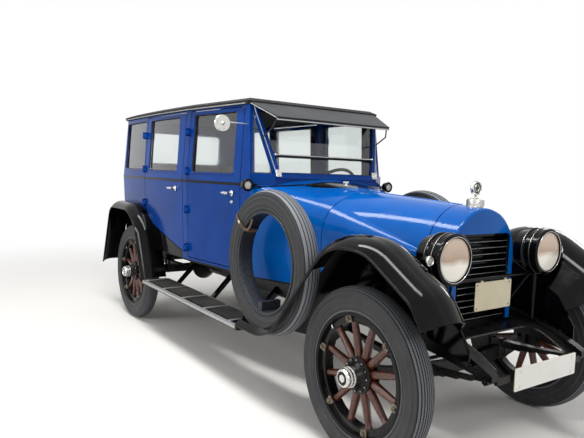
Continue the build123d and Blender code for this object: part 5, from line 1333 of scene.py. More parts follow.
@dataclass(frozen=True)
class BodyLines:
    """The body's plan outline, for mouldings that follow its walls. Millimetres from the front axle."""

    front: tuple[float, float] = (-1327.0, 606.0)
    pillar: tuple[float, float] = (-2150.0, 698.0)
    widest: tuple[float, float] = (-2900.0, 716.0)
    rear_x: float = -3800.0
    rear_half: float = 690.0
    corner_r: float = 92.0
    bow: float = 16.0
    # Height and how far the wall is drawn in there
    levels: Pairs = ((705.0, 22.0), (1335.0, 0.0), (1893.0, 30.0))

    def inset(self, z: float) -> float:
        """How far the wall is drawn in at a height.

        Args:
            z: the height.

        Returns:
            The distance.
        """
        for (low, low_in), (high, high_in) in zip(self.levels, self.levels[1:]):
            if z <= high:
                return low_in + (high_in - low_in) * (z - low) / (high - low)
        return self.levels[-1][1]

    def half_width(self, x: float, z: float) -> float:
        """Half width of the wall at a place along the car.

        Args:
            x: place along the car.
            z: height.

        Returns:
            The half width.
        """
        if x >= self.pillar[0]:
            share = (x - self.pillar[0]) / (self.front[0] - self.pillar[0])
            plain = self.pillar[1] + (self.front[1] - self.pillar[1]) * share
        else:
            ends = (self.pillar, self.widest, (self.rear_x + self.corner_r, self.rear_half))
            plain = sum(
                y * math.prod((x - other[0]) / (px - other[0]) for other in ends if other[0] != px)
                for px, y in ends
            )
        return plain - self.inset(z)

    def side(self, side: float, z: float, x_front: float, x_rear: float, out: float = 0.0) -> list[Vector]:
        """Points along one side from front to rear, moved out from the wall.

        Args:
            side: 1 for the left, -1 for the right.
            z: height.
            x_front: where it starts.
            x_rear: where it ends.
            out: how far it is moved out.

        Returns:
            The points.
        """
        count = max(2, int(abs(x_front - x_rear) / 60) + 2)
        xs = [x_front + (x_rear - x_front) * k / (count - 1) for k in range(count)]
        return [at(x, side * (self.half_width(x, z) + out), z) for x in xs]

    def round_back(self, z: float, x_start: float, out: float = 0.0) -> list[Vector]:
        """Points from the right side round the back to the left one.

        Args:
            z: height.
            x_start: where it starts and ends.
            out: how far it is moved out.

        Returns:
            The points.
        """
        draw = self.inset(z) - out
        rear = self.rear_x + draw
        r = self.corner_r + self.inset(z) / 2 + out
        half = self.rear_half - draw
        right = self.side(-1.0, z, x_start, rear + r + 20, out)
        corner = [
            at(rear + r - r * math.sin(a), -(half - r + r * math.cos(a)), z)
            for a in (math.radians(15 * k) for k in range(7))
        ]
        across = (-0.75, -0.5, -0.25, 0, 0.25, 0.5, 0.75)
        back = [at(rear - self.bow * (1 - t * t), (half - r) * t, z) for t in across]
        mirrored = [Vector((p.x, -p.y, p.z)) for p in reversed(right + corner)]
        return right + corner + back + mirrored


LINES = BodyLines()


@dataclass
class Mouldings:
    """Black belt moulding and drip moulding, each on the body that carries it."""

    belt_z: float = 1335.0
    # Columns: body, front x, rear x of the straight belt pieces on one side
    belt: tuple[tuple[str, float, float], ...] = (
        ("door_front_{}", -1441.0, -2147.0),
        ("door_rear_{}", -2245.0, -3043.0),
        ("chassis", -1329.0, -1429.0),
        ("chassis", -2159.0, -2234.0),
    )
    # Front end of the piece that runs round the back
    back_front: float = -3060.0
    drip_z: float = 1897.0
    drip_front: float = -1420.0
    drip_out: float = 20.5

    def build(self) -> None:
        """All mouldings."""
        section = [(-0.001, -0.0095), (0.0035, -0.0085), (0.0058, -0.0045), (0.0064, 0.0), (0.0058, 0.0045),
                   (0.0035, 0.0085), (-0.001, 0.0095)]
        for side_name, side in SIDES.items():
            outward = [(x * side, y) for x, y in section]
            fixed = Piece(f"belt_moulding_{side_name}")
            for body, front, rear in self.belt:
                path = LINES.side(side, self.belt_z, front, rear)
                form = bar(outward, path, UP)
                if body == "chassis":
                    fixed.add(form, Finish.BLACK)
                    continue
                piece = Piece(f"belt_moulding_{body.format(side_name)}", body.format(side_name))
                piece.add(form, Finish.BLACK)
                piece.hand_over()
            fixed.hand_over()
        back = Piece("belt_moulding_back")
        path = LINES.round_back(self.belt_z, self.back_front)
        back.add(bar([(-x, y) for x, y in section], path, UP), Finish.BLACK)
        back.hand_over()
        self.drip()

    def drip(self) -> None:
        """Half-round bright moulding under the roof's edge, right round the sides and back."""
        piece = Piece("drip_moulding")
        path = LINES.round_back(self.drip_z, self.drip_front, self.drip_out)
        piece.add(bar(oval(-0.001, 0.0, 0.003, 0.0036, 10), path, UP), Finish.ALUMINIUM)
        piece.hand_over()


@dataclass
class WindowBeads:
    """Dark garnish beads round the side windows, on the door or the body that has the window."""

    sill: float = 1408.0
    head: float = 1848.0
    corner: float = 22.0
    # How far inside the wall's outer face the outer and the inner bead lie
    depths: tuple[float, float] = (10.5, 28.5)
    # Columns: body, front x, rear x, rise of the opening
    windows: tuple[tuple[str, float, float, float], ...] = (
        ("door_front_{}", -1533.0, -2098.0, 0.0),
        ("door_rear_{}", -2350.0, -2965.0, 0.0),
        ("chassis", -3085.0, -3668.0, 5.0),
    )

    def outline(self, side: float, front: float, rear: float, rise: float, depth: float) -> list[Vector]:
        """A rounded rectangle that lies in the wall.

        Args:
            side: 1 for the left, -1 for the right.
            front: its front x.
            rear: its rear x.
            rise: how far it lies above the doors' windows.
            depth: how far inside the outer face it lies.

        Returns:
            Its points.
        """
        low, high, r = self.sill + rise, self.head + rise, self.corner
        corners = (
            (front - r, low + r, -90), (front - r, high - r, 0), (rear + r, high - r, 90), (rear + r, low + r, 180)
        )
        arcs = [
            [(x + r * math.cos(a), z + r * math.sin(a)) for a in (math.radians(start + 18 * k) for k in range(6))]
            for x, z, start in corners
        ]
        spots = []
        for arc, following in zip(arcs, arcs[1:] + arcs[:1]):
            (ax, az), (bx, bz) = arc[-1], following[0]
            spots += arc + [(ax + (bx - ax) * k / 4, az + (bz - az) * k / 4) for k in (1, 2, 3)]
        return [at(x, side * (LINES.half_width(x, z) - depth), z) for x, z in spots]

    def build(self) -> None:
        """All beads, outside and inside each pane."""
        for side_name, side in SIDES.items():
            for body, front, rear, rise in self.windows:
                name = body.format(side_name)
                piece = Piece(f"window_bead_{'quarter_' + side_name if body == 'chassis' else name}", name)
                for depth in self.depths:
                    path = self.outline(side, front, rear, rise, depth)
                    piece.add(rod(path, 0.0055, 6, closed=True), Finish.TRIM)
                ledge = LINES.side(side, self.sill + rise - 5.0, front - 2.0, rear + 2.0, 0.5)
                piece.add(rod(ledge, 0.0050, 10), Finish.BODY)
                piece.hand_over()


@dataclass
class Handles:
    """Nickel door handles over their shanks, with an escutcheon and the keyhole knob below."""

    z: float = 1267.0
    # Columns: door, x, y of the wall
    spots: tuple[tuple[str, float, float], ...] = (("front", -1538.0, 629.0), ("rear", -2357.0, 708.0))
    knob_drop: float = 62.0
    # The lever from its front end: place along from its root, place out from the wall, height by width
    lever: Points = (
        (14.0, 36.0, 0.95), (-20.0, 37.0, 1.12), (-60.0, 36.5, 1.05), (-85.0, 35.0, 0.8)
    )

    def build(self) -> None:
        """One handle on every door."""
        for side_name, side in SIDES.items():
            for door, x, y in self.spots:
                name = f"door_{door}_{side_name}"
                piece = Piece(f"handle_{door}_{side_name}", name)
                root = shift(at(x, side * y, self.z)) @ turned(90 * side, "Z")
                plate = [(0.0, 0.0), (0.0, 0.0215), (0.005, 0.0225), (0.0085, 0.0185), (0.011, 0.0135), (0.022, 0.0102),
                         (0.030, 0.0102), (0.030, 0.0)]
                piece.add(lathe(plate, 36), Finish.NICKEL, [root])
                lever = along_path([at(x + run, side * (y + out), self.z) for run, out, _ in self.lever], UP)
                stations = [
                    station @ Matrix.Diagonal((1.0, flat, 1.0, 1.0)) for station, (_, _, flat) in zip(lever, self.lever)
                ]
                piece.add(sweep(disc_points(0.0105, 14), stations), Finish.NICKEL)
                if door == "front":
                    knob = [(0.0, 0.0), (0.0, 0.013), (0.004, 0.013), (0.007, 0.009), (0.011, 0.009), (0.013, 0.0)]
                    low = shift(at(x, side * (y - 3), self.z - self.knob_drop)) @ turned(90 * side, "Z")
                    piece.add(lathe(knob, 24), Finish.NICKEL, [low])
                piece.hand_over()


@dataclass
class RunningBoards:
    """Ribbed mats with aluminium edging and screwed cross strips on both boards."""

    front: float = -1045.0
    rear: float = -2755.0
    inner: float = 598.0
    outer: float = 838.0
    top: float = 445.0
    edge_z: float = 441.5
    edge_short: float = 25.0
    margin: float = 24.0
    rib_pitch: float = 15.0
    strips: tuple[float, ...] = (-1185.0, -1560.0, -1935.0, -2310.0, -2685.0)

    def build(self) -> None:
        """Both boards' trim."""
        piece = Piece("running_board_trim")
        low, high = self.inner + self.margin, self.outer - self.margin
        middle = (low + high) / 2
        mid_x = (self.strips[0] + self.strips[-1]) / 2
        edge_l = self.front - self.rear - 2 * self.edge_short
        for side in SIDES.values():
            rib = block(((self.strips[0] - self.strips[-1]) * MM, 0.0068, 0.0030), 0.001, 1)
            rows = [low + self.rib_pitch * (k + 0.5) for k in range(int((high - low) / self.rib_pitch))]
            piece.add(rib, Finish.MAT, [shift(at(mid_x, side * y, self.top + 1.2)) for y in rows])
            # Edging on both long sides, folded over the board's edge
            fold = [(0, -0.0195), (0.0025, -0.0195), (0.0025, 0.0008), (-0.0185, 0.0052), (-0.0185, 0.0025),
                    (0, -0.001)]
            for y, way in ((self.outer, side), (self.inner, -side)):
                turn = Matrix(((0, 0, 1), (way, 0, 0), (0, 1, 0))).to_4x4()
                place = shift(at(self.rear + self.edge_short, side * y, self.edge_z)) @ turn
                piece.add(slab(fold, edge_l * MM), Finish.ALUMINIUM, [place])
            for x in self.strips:
                strip = block((0.020, (high - low + 20) * MM, 0.005), 0.0015)
                piece.add(strip, Finish.ALUMINIUM, [shift(at(x, side * middle, self.top + 2.6))])
                heads = [shift(at(x, side * y, self.top + 5.0)) for y in (low + 6, middle, high - 6)]
                piece.add(ball(0.0045, 4, 0.5), Finish.ALUMINIUM, heads)
        piece.hand_over()


@dataclass
class ScreenTrim:
    """Windscreen: bright divider rod, bright strips on the posts, dark seals, a dark strip down each post as painted
    shade, foot brackets and visor edging.
    """

    base: tuple[float, float] = (-1243.0, 1418.0)
    top: tuple[float, float] = (-1388.0, 1884.0)
    base_half: float = 462.0
    top_half: float = 572.0
    rake: float = 17.0
    # How far up the slope the divider is
    divider: float = 130.0
    visor_front: Point = (-1153.0, 513.0, 1781.0)
    visor_side: Points = (
        (-1158.0, 513.0, 1790.0), (-1270.0, 548.0, 1843.0), (-1388.0, 580.0, 1897.0)
    )

    def on_screen(self, y: float, up: float, out: float = 0.0) -> Vector:
        """A point on the raked screen.

        Args:
            y: place across the car.
            up: distance up the slope.
            out: distance out from the middle plane.

        Returns:
            The point in the row frame.
        """
        run = Vector((self.top[0] - self.base[0], 0, self.top[1] - self.base[1]))
        slope = run.normalized()
        normal = Vector((slope.z, 0, -slope.x))
        spot = Vector((self.base[0], 0, self.base[1])) + slope * up + normal * out
        return at(spot.x, y, spot.z)

    def half(self, up: float) -> float:
        """Half width of the screen's frame at a distance up the slope."""
        length = math.hypot(self.top[0] - self.base[0], self.top[1] - self.base[1])
        return self.base_half + (self.top_half - self.base_half) * up / length

    def across(self, up: float, inset: float, out: float) -> list[Vector]:
        """The two ends of a bar that crosses the screen between its posts."""
        reach = self.half(up) - inset
        return [self.on_screen(y, up, out) for y in (-reach, reach)]

    def build(self) -> None:
        """All the screen's trim."""
        piece = Piece("windscreen_trim")
        piece.add(rod(self.across(self.divider, 41, 20), 0.0042, 10), Finish.NICKEL)
        piece.add(rod(self.across(self.divider - 9, 42, 17), 0.0048, 8), Finish.TRIM)
        for side in SIDES.values():
            strip = [self.on_screen(side * (self.half(u) - 4.0), u, 17.5) for u in (2, 120, 240, 360, 470)]
            piece.add(rod(strip, 0.0032, 8), Finish.ALUMINIUM)
            # A dark cloth strip down each post, painted shade where the post's face lies in shadow
            post_strip_painted_shade = [self.on_screen(side * (self.half(u) - 42.0), u, 5) for u in (2, 150, 300, 450)]
            piece.add(rod(post_strip_painted_shade, 0.0045, 6), Finish.TRIM)
            end = self.on_screen(side * (self.half(self.divider) - 46), self.divider, 20)
            piece.add(ball(0.010, 8), Finish.NICKEL, [shift(end)])
            # Bracket that clamps the post's foot to the cowl
            post_y = side * (self.base_half - 20)
            foot = shift(self.on_screen(post_y, -4, 20)) @ turned(-self.rake, "Y")
            piece.add(block((0.012, 0.044, 0.052), 0.004), Finish.NICKEL, [foot])
            heads = [facing(self.on_screen(post_y, up, 26), Vector((0.95, 0, 0.3))) for up in (-18, 10)]
            piece.add(bolt(0.007, 0.006), Finish.NICKEL, heads)
        base_seal = [self.on_screen(y, 3, 8) for y in (-(self.base_half - 42), self.base_half - 42)]
        piece.add(rod(base_seal, 0.0048, 6), Finish.TRIM)
        piece.hand_over()
        self.visor()

    def visor(self) -> None:
        """Metal edging along the visor's front and its two sides."""
        piece = Piece("visor_trim")
        front_x, front_half, front_z = self.visor_front
        section = [(-0.003, -0.0070), (0.0028, -0.0070), (0.0028, 0.0070), (-0.003, 0.0070)]
        path = [at(front_x, y, front_z) for y in (-front_half, 0, front_half)]
        piece.add(bar(section, path, Vector((-0.35, 0, 1))), Finish.ALUMINIUM)
        for side in SIDES.values():
            piece.add(rod([at(x, side * y, z) for x, y, z in self.visor_side], 0.0032, 8), Finish.ALUMINIUM)
        piece.hand_over()


@dataclass
class FrontEnd:
    """Bolts and small metal between the horns: plate bolts, crank ring, rolled pan edge, clips and axle bolts."""

    horn_x: float = 528.0
    pan_edge_r: float = 0.0048
    # The pan's rolled edge on the right, and the edge of its bay for the crank
    edge: Points = (
        (90, -293, 631), (238, -293, 623), (330, -293, 603), (393, -293, 574), (470, -293, 530)
    )
    bay: Points = (
        (326, -293, 605), (262, -285, 618), (248, -240, 620), (247, 0, 620), (248, 240, 620), (262, 285, 618),
        (326, 293, 605),
    )
    # Across and up: the lower plate's bolts, and the ring that holds the crank
    plate_bolts: Pairs = ((-200.0, 456.0), (-200.0, 532.0), (240.0, 456.0), (240.0, 532.0))
    crank_ring: tuple[float, float] = (20.0, 502.0)
    # Rail bolts: x and z
    rail_bolts: Pairs = (
        (284.0, 640.0), (369.0, 602.0), (-60.0, 640.0), (-300.0, 640.0), (-480.0, 640.0)
    )
    # Spring clips over each axle: x of the axle, foot and top of the clip
    clips: Points = ((0.0, 420.0, 474.0), (-3235.0, 470.0, 526.0))
    spring_y: float = 380.0
    clip_half_l: float = 38.0
    clip_half_w: float = 28.0
    rail_y: float = 405.0
    # The spring's bolt through the horn: x, z, and across at its outer and its inner end
    horn_bolt: tuple[float, float, float, float] = (500.0, 508.0, 405.0, 355.0)

    def build(self) -> None:
        """All front hardware on the chassis, and the rear axle's clips."""
        piece = Piece("front_hardware")
        head = lathe([(0.0, 0.0), (0.0, 0.0075), (0.002, 0.0075), (0.0035, 0.004), (0.004, 0.0)], 14)
        piece.add(head, Finish.NICKEL, [shift(at(self.horn_x + 8, y, z)) for y, z in self.plate_bolts])
        ring = [(0.0, 0.022), (0.0, 0.031), (0.006, 0.031), (0.008, 0.0265), (0.006, 0.022)]
        piece.add(lathe(ring, 28, closed=True), Finish.NICKEL, [shift(at(self.horn_x - 6, *self.crank_ring))])
        for side in SIDES.values():
            piece.add(rod([at(x, side * y, z) for x, y, z in self.edge], self.pan_edge_r, 8), Finish.PAN_EDGE)
        bay = rounded([at(*point) for point in self.bay], 0.03)
        piece.add(rod(bay, self.pan_edge_r, 8), Finish.PAN_EDGE)
        for side in SIDES.values():
            out = Vector((0, side, 0))
            for x, z in self.rail_bolts:
                piece.add(bolt(0.011, 0.009), Finish.CHASSIS, [facing(at(x, side * self.rail_y, z), out)])
            bolt_x, bolt_z, outer, inner = self.horn_bolt
            for y, way in ((outer, out), (inner, -out)):
                piece.add(bolt(0.018, 0.014), Finish.CHASSIS, [facing(at(bolt_x, side * y, bolt_z), way)])
            self.spring_clips(piece, side)
        piece.hand_over()

    def spring_clips(self, piece: Piece, side: float) -> None:
        """The bent clips that hold the springs of one side on both axles.

        Args:
            piece: what takes them.
            side: 1 for the left, -1 for the right.
        """
        for axle_x, low, high in self.clips:
            for x in (axle_x - self.clip_half_l, axle_x + self.clip_half_l):
                legs = [side * (self.spring_y + out) for out in (-self.clip_half_w, self.clip_half_w)]
                for y in legs:
                    piece.add(rod([at(x, y, low - 52), at(x, y, high + 4)], 0.006, 8), Finish.CHASSIS)
                    piece.add(bolt(0.011, 0.010), Finish.CHASSIS, [facing(at(x, y, low - 46), -UP)])
                piece.add(rod([at(x, y, high) for y in legs], 0.006, 8), Finish.CHASSIS)


@dataclass
class VentLid:
    """The cowl vent's small wing handle."""

    foot: Point = (-912.0, -98.0, 1352.0)

    def build(self) -> None:
        """The handle's foot and its wing."""
        piece = Piece("vent_handle")
        foot = shift(at(*self.foot))
        stem = lathe([(0.0, 0.0), (0.0, 0.012), (0.006, 0.010), (0.016, 0.007), (0.018, 0.0)], 20)
        piece.add(stem, Finish.NICKEL, [foot @ turned(-90, "Y")])
        piece.add(block((0.010, 0.046, 0.016), 0.004), Finish.NICKEL, [foot @ shift((0, 0, 0.021))])
        piece.hand_over()


@dataclass
class CowlStrip:
    """Black strip over the joint of cowl and body, from each cowl lamp to the tips of the vent."""

    # Points of the joint on the car's right, which the left repeats
    line: Points = (
        (-1318.0, -606.0, 1334.0), (-1290.0, -592.0, 1334.0), (-1266.0, -566.0, 1324.0), (-1240.0, -525.0, 1325.5),
        (-1207.0, -477.0, 1330.0), (-1157.0, -388.0, 1337.0), (-1118.0, -302.0, 1346.0),
    )
    lift: float = 1.5

    def build(self) -> None:
        """The strip on both sides."""
        piece = Piece("cowl_strip")
        section = [(-0.0085, -0.003), (-0.0070, 0.0026), (-0.003, 0.0046), (0.003, 0.0046), (0.0070, 0.0026),
                   (0.0085, -0.003)]
        for side in SIDES.values():
            path = [at(x, side * -y, z + self.lift) for x, y, z in self.line]
            piece.add(bar(section, path, Vector((0.2, 0, 1))), Finish.BLACK)
        piece.hand_over()


@dataclass
class PlateFaces:
    """White enamel on the lower number plate, and rusty fixings on the upper one; both stay blank."""

    middle_y: float = 20.0
    lower_z: float = 494.0
    lower: tuple[float, float] = (519.4, 111.4)
    upper: tuple[float, float] = (305.0, 152.0)
    upper_z: float = 811.0
    corner_r: float = 0.008
    # Heights in metres between which neither CAD plate has a corner
    gap_z: tuple[float, float] = (0.6, 0.75)
    # How far the upper plate's fixings lie inside its ends and its edges
    fixings: tuple[float, float] = (16.0, 14.0)

    def build(self) -> None:
        """Both faces."""
        piece = Piece("plate_faces")
        # Both CAD plates are one node
        corners = [v.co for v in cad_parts["number_plates"].data.vertices]
        low_x = max(c.x for c in corners if c.z < self.gap_z[0])
        high_x = max(c.x for c in corners if c.z > self.gap_z[1])
        w, h, r = self.lower[0] / 2 * MM, self.lower[1] / 2 * MM, self.corner_r
        outline = [
            (sx * (w - r) + r * math.cos(math.radians(a)), sy * (h - r) + r * math.sin(math.radians(a)))
            for sx, sy, start in ((1, 1, 0), (-1, 1, 90), (-1, -1, 180), (1, -1, 270))
            for a in (start, start + 45, start + 90)
        ]
        turn = Matrix(((0, 0, 1), (1, 0, 0), (0, 1, 0))).to_4x4()
        place = shift((low_x - 0.0004, self.middle_y * MM, self.lower_z * MM)) @ turn
        piece.add(slab(outline, 0.0008), Finish.WHITE_PLATE, [place])
        for sy in (-1, 1):
            for sz in (-1, 1):
                y = self.middle_y + sy * (self.upper[0] / 2 - self.fixings[0])
                z = self.upper_z + sz * (self.upper[1] / 2 - self.fixings[1])
                piece.add(ball(0.0055, 4, 0.5), Finish.LUG, [facing(Vector((high_x, y * MM, z * MM)), AHEAD)])
        piece.hand_over()


@dataclass
class Lining:
    """Dark cloth panels on the inner faces of doors and body, round the windows."""

    depth: float = 40.5
    sill: float = 1396.0
    head: float = 1860.0
    # Columns: body, front x, rear x, foot z, window front x, window rear x
    walls: tuple[tuple[str, float, float, float, float, float], ...] = (
        ("door_front_{}", -1462.0, -2128.0, 770.0, -1521.0, -2110.0),
        ("door_rear_{}", -2266.0, -3024.0, 1100.0, -2338.0, -2977.0),
        ("chassis", -3064.0, -3690.0, 1110.0, -3073.0, -3680.0),
    )

    def sheet(self, piece: Piece, side: float, front: float, rear: float, low: float, high: float) -> None:
        """One panel that follows the wall, 3 mm thick.

        Args:
            piece: what takes it.
            side: 1 for the left, -1 for the right.
            front: its front x.
            rear: its rear x.
            low: its foot's height.
            high: its top's height.
        """
        form = bmesh.new()
        columns = max(2, int((front - rear) / 90) + 1)
        rows = max(2, int((high - low) / 120) + 1)
        grid = [
            [
                form.verts.new(at(x, side * (LINES.half_width(x, z) - self.depth), z))
                for x in (front + (rear - front) * i / (columns - 1) for i in range(columns))
            ]
            for z in (low + (high - low) * j / (rows - 1) for j in range(rows))
        ]
        for below, above in zip(grid, grid[1:]):
            for k in range(columns - 1):
                form.faces.new((below[k], below[k + 1], above[k + 1], above[k]))
        bmesh.ops.recalc_face_normals(form, faces=form.faces)
        bmesh.ops.solidify(form, geom=list(form.faces), thickness=0.003)
        piece.add(form, Finish.TRIM)

    def build(self) -> None:
        """All panels of both sides."""
        for side_name, side in SIDES.items():
            for body, front, rear, foot, glass_front, glass_rear in self.walls:
                name = body.format(side_name)
                piece = Piece(f"lining_{'quarter_' + side_name if body == 'chassis' else name}", name)
                self.sheet(piece, side, front, rear, foot, self.sill)
                if front - glass_front > 20:
                    self.sheet(piece, side, front, glass_front, self.sill, self.head)
                if glass_rear - rear > 12:
                    self.sheet(piece, side, glass_rear, rear, self.sill, self.head)
                piece.hand_over()


@dataclass
class Seat:
    """An upholstered bench: a boxed base, a swelling cushion and a raked back, with sewn channels."""

    node: str
    rear_x: float
    depth: float
    cushion_z: float
    back_z: float
    half_w: float = 560.0
    channels: int = 12
    channel_w: float = 0.010
    channel_depth: float = 0.010
    voxel: float = 0.013
    swell: float = 0.014
    pressure: float = 4.0
    settle_frames: int = 20
    # Thicknesses, in metres, and leans, in degrees, of the cushion, the back's pad and its shell
    cushion_t: float = 0.100
    back_t: float = 0.070
    shell_t: float = 0.030
    back_lean: float = -9.0
    shell_lean: float = -3.0
    # How far ahead of the seat's rear end each part begins or stands
    base_x: float = 60.0
    shell_x: float = 36.0
    cushion_x: float = 120.0
    back_x: float = 92.0
    # How much narrower than the CAD seat the base, the shell and the pads are
    base_gap: float = 16.0
    shell_gap: float = 60.0
    pad_gap: float = 44.0
    cushion_gap: float = 70.0
    # How far the cushion's middle lies under its top, and the shell's and the pad's under the back's middle
    cushion_drop: float = 68.0
    shell_drop: float = 60.0
    back_drop: float = 16.0
    # How far below the cushion's top the base ends, in metres
    base_drop: float = 0.120

    def stuffed(self, name: str, size: Point, place: Matrix) -> None:
        """One stuffed pad, blown up as cloth and then sewn into channels.

        Args:
            name: the pad's name.
            size: its size before it swells, in metres; its plump face is local +Z.
            place: where it lies.
        """
        form = block(size, min(size) * 0.3, 3)
        mesh = bpy.data.meshes.new(name + "_start")
        form.to_mesh(mesh)
        form.free()
        pad = placed(name + "_start", mesh)
        scene = bpy.context.scene
        remesh = pad.modifiers.new("even_skin", "REMESH")
        remesh.mode = "VOXEL"
        remesh.voxel_size = self.voxel
        skin = bpy.data.meshes.new_from_object(pad.evaluated_get(bpy.context.evaluated_depsgraph_get()))
        pad.modifiers.clear()
        pad.data = skin
        start = [v.co.copy() for v in skin.vertices]
        cloth = pad.modifiers.new("stuffing", "CLOTH")
        cloth.settings.use_pressure = True
        cloth.settings.uniform_pressure_force = self.pressure
        cloth.settings.effector_weights.gravity = 0.0
        for number in range(1, self.settle_frames + 1):
            scene.frame_set(number)
        skin = bpy.data.meshes.new_from_object(pad.evaluated_get(bpy.context.evaluated_depsgraph_get()))
        scene.frame_set(1)
        bpy.data.objects.remove(pad)
        skin.name = name
        for vert, was in zip(skin.vertices, start):
            step = vert.co - was
            if step.length > self.swell:
                vert.co = was + step.normalized() * self.swell
        self.sew(skin, size[1])
        skin.transform(place)
        skin.materials.clear()
        skin.materials.append(Finish.LEATHER.material)
        for face in skin.polygons:
            face.use_smooth = True
        made = placed(name, skin)
        finer = made.modifiers.new("finer", "SUBSURF")
        finer.levels = finer.render_levels = 1
        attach(made, "chassis")
        LOG.info("%s: %d faces", name, len(skin.polygons))

    def sew(self, skin: bpy.types.Mesh, width: float) -> None:
        """Presses the sewn channels into the plump side.

        Args:
            skin: the pad's mesh.
            width: the pad's width in metres.
        """
        pitch = width / self.channels
        for vert in skin.vertices:
            share = max(0.0, vert.normal.z)
            away = abs((vert.co.y / pitch + 0.5) % 1.0 - 0.5) * pitch
            vert.co.z -= self.channel_depth * share * math.exp(-((away / self.channel_w) ** 2))

    def build(self) -> None:
        """Base, cushion and back in place of the CAD seat."""
        low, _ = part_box(self.node)
        piece = Piece(f"{self.node}_base")
        wide, rise, centre_z = 2 * self.half_w, self.back_z - self.cushion_z, (self.back_z + self.cushion_z) / 2
        height = self.cushion_z * MM - self.base_drop - low.z
        middle = self.rear_x + self.base_x + self.depth / 2
        base = block(((self.depth - self.base_gap) * MM, (wide - self.base_gap) * MM, height - 0.004), 0.008)
        piece.add(base, Finish.TRIM, [shift((fore(middle), 0, low.z + height / 2))])
        shell = block((self.shell_t, (wide - self.shell_gap) * MM, rise * MM + 0.04), 0.012)
        stand = shift(at(self.rear_x + self.shell_x, 0, centre_z - self.shell_drop)) @ turned(self.shell_lean, "Y")
        piece.add(shell, Finish.TRIM, [stand])
        piece.hand_over(self.node)
        pad_w = (wide - self.pad_gap) * MM
        lie = shift(at(self.rear_x + self.cushion_x + self.depth / 2, 0, self.cushion_z - self.cushion_drop))
        self.stuffed(f"{self.node}_cushion", ((self.depth - self.cushion_gap) * MM, pad_w, self.cushion_t), lie)
        back = shift(at(self.rear_x + self.back_x, 0, centre_z - self.back_drop))
        lean = back @ turned(self.back_lean, "Y") @ turned(90, "Y")
        self.stuffed(f"{self.node}_back", (rise * MM + 0.010, pad_w, self.back_t), lean)


@dataclass
class MirrorTrim:
    """Bright bezel of the round mirror and its silvered back-facing glass."""

    centre: Point = (-1408.0, -788.0, 1745.0)
    depth: float = 14.0

    def build(self) -> None:
        """Bezel and glass on the mirror's rear face."""
        piece = Piece("mirror_bezel")
        x, y, z = self.centre
        place = shift(at(x, y, z)) @ turned(180, "Z")
        shell = [(-0.0145, 0.0), (-0.0135, 0.030), (-0.010, 0.049), (-0.004, 0.0555), (0.002, 0.0570), (0.004, 0.0545),
                 (0.003, 0.0520), (0.0005, 0.0520), (0.0005, 0.0)]
        piece.add(lathe(shell, 48), Finish.NICKEL, [place])
        piece.add(lathe([(0.0006, 0.0), (0.0006, 0.0515), (0.0016, 0.0515), (0.0016, 0.0)], 40), Finish.NICKEL, [place])
        boss = lathe([(0.0, 0.0), (0.0, 0.014), (0.006, 0.012), (0.010, 0.007), (0.011, 0.0)], 24)
        piece.add(boss, Finish.NICKEL, [shift(at(x + self.depth, y, z))])
        piece.hand_over()


@dataclass
class SteeringControls:
    """Steering wheel: dark wood rim, four alloy spokes and a hub, turning with its CAD body."""

    centre: Point = (-1620.0, 345.0, 1290.0)
    lean: float = 38.0
    rim_r: float = 0.214

    def build(self) -> None:
        """The wheel in place of the CAD one."""
        piece = Piece("steering_wheel_rim", "steering_wheel")
        way = Vector((-math.cos(math.radians(self.lean)), 0, math.sin(math.radians(self.lean))))
        place = axled(at(*self.centre), way)
        grip = oval(0.008, self.rim_r, 0.0125, 0.0135, 16)
        piece.add(lathe(grip, 72, closed=True), Finish.DARK_WOOD, [place])
        hub = [(-0.030, 0.0), (-0.030, 0.028), (-0.010, 0.031), (0.006, 0.030), (0.016, 0.024), (0.022, 0.012),
               (0.024, 0.0)]
        piece.add(lathe(hub, 40), Finish.BLACK, [place])
        path = [Vector((-0.002, 0, 0.024)), Vector((0.001, 0, 0.09)), Vector((0.006, 0, 0.205))]
        arm = bar(disc_points(0.010, 12, 0.55), path, AHEAD)
        piece.add(arm, Finish.ALUMINIUM, [place @ turned(45 + 90 * k, "X") for k in range(4)])
        piece.hand_over("steering_wheel")


